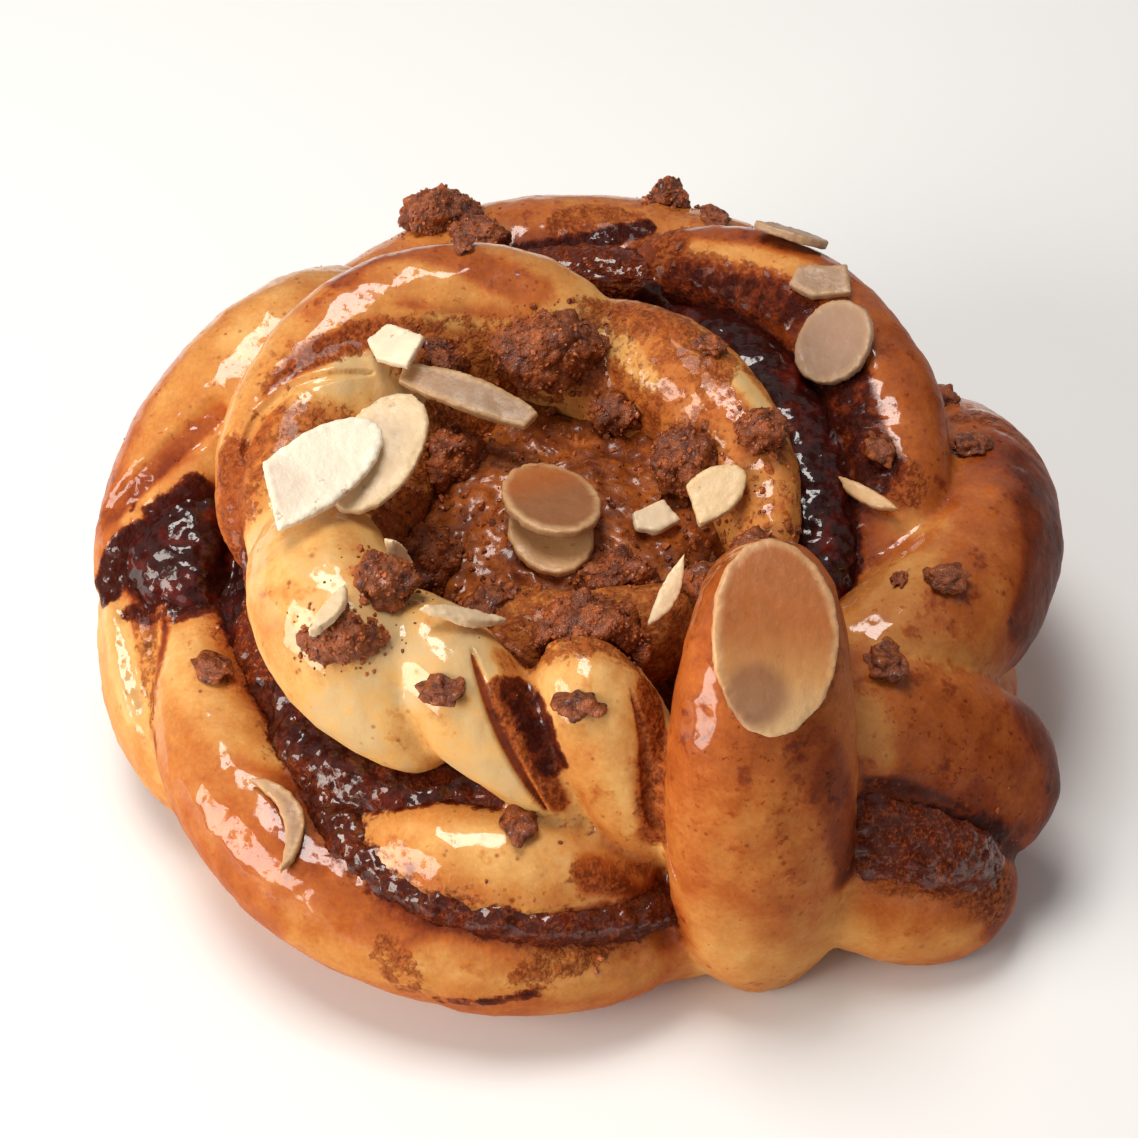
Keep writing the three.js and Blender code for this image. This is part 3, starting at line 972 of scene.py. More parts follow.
class Raiser:
    """A Geometry Nodes tree that raises a surface along its normals, in parts of a size and a height."""

    PARTS: tuple[str, ...] = ()
    GAIN = 1.0
    tree: Tree

    def start(self, name: str) -> GroupBuilder:
        """Starts the tree under a name, with its inputs."""
        inputs = {f"{part} {what}": 0.0 for part in self.PARTS for what in ("Scale", "Height")}
        return start_tree(name, inputs)

    def apply(self, made: Object, *sizes: Pair) -> None:
        """Puts the tree on an object.

        Args:
            made: The object.
            *sizes: The size and height of each part, in millimetres.
        """
        values: dict[str, float] = {}
        for part, (size, height) in zip(self.PARTS, sizes):
            values[f"{part} Scale"] = 1 / (size * MM)
            values[f"{part} Height"] = self.GAIN * height * MM
        put_tree(made, self.tree, values)


class Relief(Raiser):
    """A tree that raises a surface by noise at two sizes.

    Where the surface has an attribute named swell, the relief is that much stronger or weaker.
    """

    PARTS = ("Broad", "Fine")
    GAIN = 2.0

    def __init__(self) -> None:
        """Builds the tree."""
        made = self.start("relief")
        nodes = made.nodes
        place = nodes.add("GeometryNodeInputPosition").outputs[0]
        heights = [
            nodes.times(nodes.waver(place, made.get(f"{part} Scale")), made.get(f"{part} Height"))
            for part in self.PARTS
        ]
        held = nodes.add("GeometryNodeInputNamedAttribute", {"Name": "swell"}, data_type="FLOAT")
        there = held.outputs["Exists"]
        swell = nodes.plus(nodes.times(held.outputs[0], there), nodes.minus(1.0, there))
        total = nodes.times(nodes.plus(*heights), swell)
        made.put("Geometry", nodes.raised(made.get("Geometry"), total))
        self.tree = made.tree


class Crag(Raiser):
    """A tree that breaks a surface up into lumps, crumbs and grains, and keeps a tone for each place:
    painted shade, darker in the hollows and lighter on the tops of its crumbs and grains, with each cell's
    own tone added.
    """

    PARTS = ("Lump", "Crumb", "Grain")
    MIDDLE = 0.45
    # Painted shade: how strongly the crumbs' and grains' heights darken the hollows and lighten the tops.
    PAINTED_SHADE_BY_HEIGHT = (0.5, 0.35)
    OWN_TONES = (0.25, 0.3)
    BASE_TONE = 0.12

    def __init__(self) -> None:
        """Builds the tree."""
        made = self.start("crag")
        nodes = made.nodes
        place = nodes.add("GeometryNodeInputPosition").outputs[0]
        lump = nodes.waver(place, made.get("Lump Scale"), 2.0, 0.6)
        crumb, crumb_tone = self._cells(nodes, place, made.get("Crumb Scale"))
        grain, grain_tone = self._cells(nodes, place, made.get("Grain Scale"))
        heights = [
            nodes.times(part, made.get(f"{name} Height"))
            for name, part in zip(self.PARTS, (lump, crumb, grain))
        ]
        total = nodes.plus(nodes.plus(heights[0], heights[1]), heights[2])
        # The tone is painted shade from the heights, darker in the hollows and lighter on the tops, plus
        # each cell's own tone.
        pairs = (((crumb, grain), self.PAINTED_SHADE_BY_HEIGHT), ((crumb_tone, grain_tone), self.OWN_TONES))
        shade_and_tones = [nodes.plus(*map(nodes.times, values, shares)) for values, shares in pairs]
        tone = nodes.plus(nodes.plus(*shade_and_tones), self.BASE_TONE)
        made.put("Geometry", nodes.raised(nodes.toned(made.get("Geometry"), tone, "POINT"), total))
        self.tree = made.tree

    def _cells(self, nodes: Nodes, place: Socket, scale: Socket) -> tuple[Socket, Socket]:
        """Rounded cells about zero height, and a tone for each.

        Args:
            nodes: The tree's nodes.
            place: Where to read.
            scale: Cells in a metre.

        Returns:
            The height and tone sockets.
        """
        cells = nodes.add("ShaderNodeTexVoronoi", {"Vector": place, "Scale": scale})
        pick = nodes.add("FunctionNodeSeparateColor", {0: cells.outputs["Color"]})
        return nodes.minus(self.MIDDLE, cells.outputs["Distance"]), pick.outputs[0]


@dataclass(frozen=True)
class Grains:
    """How grains are strewn: how many on a square millimetre, how far apart, and of what sizes."""

    density: float = 1.0
    size: Pair = (0.2, 0.8)
    rarity: float = 2.0
    seed: int = 1
    spacing: float = 0.4

    def inputs(self) -> dict[str, float]:
        """What the tree that strews them takes.

        Returns:
            Its inputs by name, in metres.
        """
        return {
            "Density": self.density / MM**2,
            "Spacing": self.spacing * MM,
            "Smallest": self.size[0] * MM,
            "Largest": self.size[1] * MM,
            "Rarity": self.rarity,
            "Seed": self.seed,
        }


class Scatter:
    """A Geometry Nodes tree that strews ragged grains of a few shapes over a surface, as one mesh."""

    SHAPES = 4
    APART = 7.3
    RAGGED = (1.1, 2.0, 0.7)
    LENGTH = (0.8, 1.5)
    THICKNESS = 0.8
    TONE = (0.25, 1.0)
    SEED_STEP = 37.0

    def __init__(self, material: Material) -> None:
        """Builds the tree.

        Args:
            material: The grains' material.
        """
        made = start_tree("strewn grains", Grains().inputs())
        nodes = made.nodes
        seed = made.get("Seed")
        amount = nodes.add("GeometryNodeInputNamedAttribute", {"Name": "strewn"}, data_type="FLOAT")
        feeds = {
            "Mesh": made.get("Geometry"),
            "Distance Min": made.get("Spacing"),
            "Density Max": made.get("Density"),
            "Density Factor": amount.outputs[0],
            "Seed": seed,
        }
        points = nodes.add("GeometryNodeDistributePointsOnFaces", feeds, distribute_method="POISSON")
        curve = nodes.math("POWER", self._random(nodes, seed, 11), made.get("Rarity"))
        span = nodes.minus(made.get("Largest"), made.get("Smallest"))
        scale = nodes.plus(made.get("Smallest"), nodes.times(span, curve))
        length = self._between(nodes, seed, 12, *self.LENGTH)
        stretch = nodes.add("ShaderNodeCombineXYZ", {0: length, 1: 1.0, 2: self.THICKNESS})
        ways = {i: self._between(nodes, seed, 13 + i, 0.0, FULL_TURN) for i in range(3)}
        feeds = {
            "Points": points.outputs["Points"],
            "Instance": self._shapes(nodes),
            "Pick Instance": True,
            "Rotation": nodes.add("ShaderNodeCombineXYZ", ways).outputs[0],
            "Scale": nodes.scaled(stretch.outputs[0], scale),
        }
        placed = nodes.add("GeometryNodeInstanceOnPoints", feeds)
        toned = nodes.toned(placed.outputs[0], self._between(nodes, seed, 17, *self.TONE), "INSTANCE")
        real = nodes.add("GeometryNodeRealizeInstances", {"Geometry": toned})
        finish = nodes.add("GeometryNodeSetMaterial", {"Geometry": real.outputs[0], "Material": material})
        made.put("Geometry", finish.outputs[0])
        self.tree = made.tree

    def _shapes(self, nodes: Nodes) -> Socket:
        """The grains to choose from, each a ball of twenty faces pulled out of shape its own way.

        Args:
            nodes: The tree's nodes.

        Returns:
            The socket of the gathered grains.
        """
        gathered = nodes.add("GeometryNodeGeometryToInstance")
        for shape in range(self.SHAPES):
            ball = nodes.add("GeometryNodeMeshIcoSphere", {"Radius": 1.0, "Subdivisions": 1})
            place = nodes.add("GeometryNodeInputPosition").outputs[0]
            feeds = {0: place, 1: (self.APART * shape,) * 3}
            apart = nodes.add("ShaderNodeVectorMath", feeds, operation="ADD").outputs[0]
            push = nodes.scaled(nodes.scaled(place, nodes.waver(apart, *self.RAGGED)), 2.0)
            grain = nodes.add("GeometryNodeSetPosition", {"Geometry": ball.outputs[0], "Offset": push})
            nodes.feed(gathered.inputs[0], grain.outputs[0])
        return gathered.outputs[0]

    def _random(self, nodes: Nodes, seed: Socket, step: int) -> Socket:
        """A random number from 0 to 1 for each grain, from a seed and a step of its own."""
        own = nodes.plus(nodes.times(seed, self.SEED_STEP), float(step))
        return nodes.add("FunctionNodeRandomValue", {8: own}, data_type="FLOAT").outputs[1]

    def _between(self, nodes: Nodes, seed: Socket, step: int, low: float, high: float) -> Socket:
        """A random number for each grain between two values."""
        return nodes.plus(nodes.times(self._random(nodes, seed, step), high - low), low)

    def strew(self, name: str, bed: Object, grains: Grains) -> Object:
        """Strews grains over a copy of a bed, which has an attribute named strewn from 0 to 1.

        Args:
            name: The new object's name.
            bed: The surface.
            grains: How they are strewn.

        Returns:
            The grains as one plain mesh.
        """
        made = link_object(name, bed.data.copy())
        put_tree(made, self.tree, grains.inputs())
        settle(made)
        made.data.shade_flat()
        return made


# The strand


@dataclass(frozen=True)
class Turn:
    """One turn of dough or run of filling: a ball stretched along a line round the bun's axis."""

    start: float
    end: float
    radius: Triple
    height: Triple
    width: Triple
    depth: float
    blunt: float = 3.0
    lean: float | None = None
    via: float | None = None
    bake: Triple = (0.5, 0.5, 0.5)
    fleck: float = 0.3
    speckle: float = 0.0

    CORE_CENTRE = 13.0
    NEAR = 1e-4

    def line(self, t: Array) -> Array:
        """The middle line.

        Args:
            t: Where to read it, from 0 to 1.

        Returns:
            The places at t, in millimetres.
        """
        via = (self.start + self.end) / 2 if self.via is None else self.via
        angle = np.radians(through((self.start, via, self.end), t))
        reach = through(self.radius, t)
        return np.stack([np.cos(angle) * reach, np.sin(angle) * reach, through(self.height, t)], axis=-1)

    def axes(self, t: Array) -> tuple[Array, Array]:
        """The directions square to the line.

        Args:
            t: Where to read them, from 0 to 1.

        Returns:
            The side and outward directions at t.
        """
        tangent = self.line(np.clip(t + self.NEAR, 0, 1)) - self.line(np.clip(t - self.NEAR, 0, 1))
        tangent /= np.linalg.norm(tangent, axis=1, keepdims=True)
        centre = self.line(t)
        reach = np.hypot(centre[:, 0], centre[:, 1])
        rise = np.arctan2(centre[:, 2] - self.CORE_CENTRE, reach)
        if self.lean is not None:
            rise = np.full_like(reach, math.radians(self.lean))
        flat = np.cos(rise) / reach
        outward = np.stack([centre[:, 0] * flat, centre[:, 1] * flat, np.sin(rise)], axis=-1)
        outward -= tangent * np.sum(outward * tangent, axis=1, keepdims=True)
        outward /= np.linalg.norm(outward, axis=1, keepdims=True)
        return np.cross(tangent, outward), outward

    def surface(self, rings: int = 90, sides: int = 40) -> Surface:
        """The turn's closed skin.

        Args:
            rings: Rings along it.
            sides: Points round each ring.

        Returns:
            The skin.
        """
        y = np.cos(np.linspace(0, math.pi, rings + 2)[1:-1])
        t = (1 - y) / 2
        plump = np.sqrt(np.maximum(0, 1 - np.abs(y) ** self.blunt))
        side, outward = self.axes(t)
        around = np.linspace(0, FULL_TURN, sides, endpoint=False)
        wide = (plump * through(self.width, t) / 2)[:, None] * np.cos(around)
        deep = (plump * self.depth / 2)[:, None] * np.sin(around)
        body = self.line(t)[:, None, :] + side[:, None, :] * wide[..., None]
        body = body + outward[:, None, :] * deep[..., None]
        tips = self.line(np.array([0.0, 1.0]))
        points = np.concatenate([body.reshape(-1, 3), tips])
        along = np.concatenate([np.repeat(t, sides), [0.0, 1.0]])
        return Surface(points, ring_faces(rings, sides), along)


def ring_faces(rings: int, sides: int) -> Faces:
    """The faces of rings joined into a closed skin, with a tip after them at each end.

    Args:
        rings: How many rings.
        sides: Points in each.

    Returns:
        The faces, pointing out.
    """
    first, last = rings * sides, rings * sides + 1
    faces: Faces = []
    for j in range(sides):
        k = (j + 1) % sides
        faces.append((first, j, k))
        for i in range(rings - 1):
            faces.append((i * sides + j, (i + 1) * sides + j, (i + 1) * sides + k, i * sides + k))
        faces.append(((rings - 1) * sides + j, last, (rings - 1) * sides + k))
    return faces


def pressed_ball(radius: float, height: float, centre: float, rings: int = 60, sides: int = 120) -> Surface:
    """A ball pressed flat about the bun's axis.

    Args:
        radius: Its radius.
        height: Its height.
        centre: How high its middle is.
        rings: Rings from top to bottom.
        sides: Points round each ring.

    Returns:
        Its skin.
    """
    fall = np.linspace(0, math.pi, rings + 2)[1:-1]
    around = np.linspace(0, FULL_TURN, sides, endpoint=False)
    reach = radius * np.sin(fall)[:, None]
    level = np.broadcast_to((centre + height / 2 * np.cos(fall))[:, None], (rings, sides))
    body = np.stack([reach * np.cos(around), reach * np.sin(around), level], axis=-1).reshape(-1, 3)
    tips = np.array([[0, 0, centre + height / 2], [0, 0, centre - height / 2]])
    points = np.concatenate([body, tips])
    return Surface(points, ring_faces(rings, sides), np.zeros(len(points)))


def ring_tube(radius: float, tube: float, height: float, rings: int = 160, sides: int = 40) -> Surface:
    """A ring about the bun's axis.

    Args:
        radius: Its radius.
        tube: Its tube's radius.
        height: How high it is.
        rings: Steps round it.
        sides: Points round the tube.

    Returns:
        Its skin.
    """
    way = np.linspace(0, FULL_TURN, rings, endpoint=False)[:, None]
    around = np.linspace(0, FULL_TURN, sides, endpoint=False)
    reach = radius + tube * np.cos(around)
    level = np.broadcast_to(height + tube * np.sin(around), (rings, sides))
    points = np.stack([reach * np.cos(way), reach * np.sin(way), level], axis=-1).reshape(-1, 3)
    faces: Faces = []
    for i in range(rings):
        n = (i + 1) % rings
        for j in range(sides):
            k = (j + 1) % sides
            faces.append((i * sides + j, n * sides + j, n * sides + k, i * sides + k))
    return Surface(points, faces, np.zeros(len(points)))


def join_surfaces(name: str, surfaces: Iterable[Surface]) -> Object:
    """One object from several skins.

    Args:
        name: The object's name.
        surfaces: The skins.

    Returns:
        The object.
    """
    points: list[Array] = []
    faces: Faces = []
    count = 0
    for surface in surfaces:
        points.append(surface.points)
        faces.extend(tuple(i + count for i in face) for face in surface.faces)
        count += len(surface.points)
    return make_object(name, np.concatenate(points), faces)


OUTER_TURNS = {
    "front_left": Turn(
        184, 296, (40.5, 49, 39.5), (22, 12.4, 7.2), (13, 16, 14), 16, bake=(0.36, 0.57, 0.54), fleck=0.15
    ),
    "front_lens": Turn(232, 284, (43, 44.5, 40), (14.5, 18, 11), (10, 15, 12), 14, bake=(0.24, 0.2, 0.2)),
    "back_left": Turn(
        124, 190, (39, 43, 53), (32, 32, 17), (16, 18, 7), 18, bake=(0.44, 0.4, 0.5), fleck=0.5
    ),
    "back": Turn(
        142, 34, (44, 45, 45), (26, 29.5, 26), (16, 18, 16), 18,
        bake=(0.5, 0.56, 0.62), fleck=0.7, speckle=0.2,
    ),
    "right_back": Turn(
        84, -28, (36, 36.5, 33), (34, 36.5, 24), (14, 14, 10), 16, bake=(0.66, 0.66, 0.5), fleck=0.6
    ),
    "right": Turn(32, -48, (48, 46, 33), (21, 26, 28), (16, 20, 16), 18, bake=(0.7, 0.6, 0.46), fleck=0.4),
    "right_front": Turn(
        -62, -28, (32, 43, 59), (27, 25, 9.5), (14, 21, 22), 16, 5, bake=(0.42, 0.6, 0.85), fleck=0.6
    ),
    "front_right": Turn(-66, -38, (38, 49, 59.5), (17, 13.5, 3), (14, 20, 18), 14, 5, bake=(0.4, 0.44, 0.6)),
}
CROWN_TURNS = {
    "left": Turn(198, 58, (38, 24, 6), (31, 43, 29), (12, 14, 9), 17, bake=(0.34, 0.4, 0.4), fleck=0.6),
    "right": Turn(
        114, -44, (22, 15, 27), (36, 40.5, 33), (11, 11.5, 10), 14,
        bake=(0.4, 0.52, 0.45), fleck=0.7, speckle=0.55,
    ),
    "layer": Turn(
        206, 118, (37, 25, 13.5), (33, 41, 37), (9, 9, 6), 14, bake=(0.15, 0.12, 0.25), speckle=0.1
    ),
    "lining": Turn(
        214, 128, (27, 20, 12), (33, 35, 32), (11, 11, 8), 13, bake=(0.48, 0.5, 0.7), speckle=0.9
    ),
    "front_left": Turn(
        198, 248, (28, 36, 37), (34, 37, 26), (15, 18, 14), 16, bake=(0.22, 0.16, 0.1), fleck=0.45
    ),
    "front": Turn(231, 275, (28, 36, 35.5), (36, 34, 17), (10, 13, 6), 13, bake=(0.25, 0.1, 0.1)),
    "front_right": Turn(
        267, 285, (29, 37.5, 38), (38, 31, 11), (11, 13, 10), 13, bake=(0.3, 0.22, 0.26), fleck=0.6
    ),
    "front_rim": Turn(
        234, 308, (21, 25, 23), (32, 33.5, 34), (10, 12, 10), 11, bake=(0.55, 0.5, 0.6), speckle=0.8
    ),
}
STRAP = Turn(
    314, 297, (27, 43, 48.5), (35, 40.5, -1), (12, 19, 23), 15, 6,
    via=296, bake=(0.64, 0.62, 0.44), fleck=0.6,
)
LAYER = Turn(172, 212, (53.4, 54.4, 52.4), (17, 15, 8), (13, 13, 13), 4.5)
LAYER_BAKES = ((0.34, 0.36, 0.42), (0.46, 0.46, 0.46), (0.3, 0.32, 0.38))
LAYER_SPECKLES = (0.15, 0.75, 0.3)
LAYER_STEP = 3.0
LAYER_RISE = 1.5
BACK_TURN = Turn(172, -44, (42, 45, 44), (8, 13, 18), (18, 18, 18), 16, bake=(0.5, 0.58, 0.62), fleck=0.5)
BACK_COUNT = 5
BACK_OVERLAP = 16.0


@dataclass(frozen=True)
class Run:
    """A run of filling in a groove: its turn, how wet it is and how lumpy."""

    turn: Turn
    wet: float
    lumpy: float


FILLING_RUNS = {
    "left_pool": Run(Turn(161, 194, (43, 47, 43), (23.5, 25.5, 22), (14, 14, 12), 9, lean=62), 1.0, 1.0),
    "front": Run(Turn(216, 285, (42, 40, 37), (21, 21.5, 17), (11, 7.5, 5), 8, lean=60), 0.7, 0.75),
    "lens": Run(Turn(224, 292, (43, 48.8, 42.5), (19.5, 17, 12.5), (10, 6.5, 6), 8, lean=42), 0.55, 0.8),
    "crown_front": Run(Turn(250, 277, (29, 35, 38), (37, 31, 20), (4, 7, 4), 8), 0.5, 0.5),
    "right": Run(Turn(70, -38, (31, 26.5, 32), (35, 35, 26), (9, 11, 9), 8, lean=75), 1.0, 0.9),
    "back": Run(Turn(136, 56, (36, 35, 34), (25, 35, 34), (9, 9, 9), 8, lean=70), 0.35, 0.7),
    "crown_left": Run(Turn(208, 112, (38, 29.5, 18), (26, 43, 39), (5, 4.5, 4), 9), 0.05, 0.3),
    "front_right": Run(Turn(298, 322, (38, 50.5, 59), (22, 18, 9.5), (12, 13, 11), 11), 0.35, 0.5),
}


def strand_turns() -> list[Turn]:
    """Every turn of the dough.

    Returns:
        The turns in order.
    """
    layers = []
    for i, (bake, speckle) in enumerate(zip(LAYER_BAKES, LAYER_SPECKLES)):
        near = tuple(radius - i * LAYER_STEP for radius in LAYER.radius)
        high = tuple(height + i * LAYER_RISE for height in LAYER.height)
        layers.append(replace(LAYER, radius=near, height=high, bake=bake, speckle=speckle))
    stride = (BACK_TURN.end - BACK_TURN.start) / BACK_COUNT
    backs = []
    for i in range(BACK_COUNT):
        start = BACK_TURN.start + i * stride
        backs.append(replace(BACK_TURN, start=start + BACK_OVERLAP, end=start + stride - BACK_OVERLAP))
    return [*OUTER_TURNS.values(), *CROWN_TURNS.values(), STRAP, *layers, *backs]


@dataclass(frozen=True)
class Stroke:
    """A streak on the dough: the mark it leaves, how strong and broad it is, and three places on its way."""

    mark: Mark
    amount: float
    breadth: float
    first: Triple
    middle: Triple
    last: Triple

    STEPS = 60
    EVEN = 5
    NARROW = 1.0
    MARGIN = 1.3
    EDGE = (0.5, 1.2)
    TIP = 0.05

    def share(self, skin: BVHTree, points: Array) -> Array:
        """How much of the streak lies at each point.

        Args:
            skin: The dough's surface.
            points: The points, in millimetres.

        Returns:
            The shares, from 0 to 1.
        """
        t = np.linspace(0, 1, self.STEPS)[:, None]
        line = through((np.array(self.first), np.array(self.middle), np.array(self.last)), t)
        line = np.array([skin.find_nearest(Vector(spot) * MM)[0] for spot in line]) / MM
        padded = np.pad(line, ((self.EVEN, self.EVEN), (0, 0)), mode="edge")
        window = 2 * self.EVEN + 1
        line = np.array([padded[i : i + window].mean(axis=0) for i in range(self.STEPS)])
        margin = self.MARGIN * self.breadth
        near = np.all((points > line.min(axis=0) - margin) & (points < line.max(axis=0) + margin), axis=1)
        gaps = np.linalg.norm(points[near][:, None, :] - line[None, :, :], axis=2)
        if self.breadth < self.NARROW:
            gaps /= np.sqrt(np.clip(4 * t * (1 - t), self.TIP, 1)).T
        gaps = gaps.min(axis=1)
        found = np.zeros(len(points))
        inner, outer = self.EDGE
        found[near] = 1 - smoothstep(inner * self.breadth, outer * self.breadth, gaps)
        return found


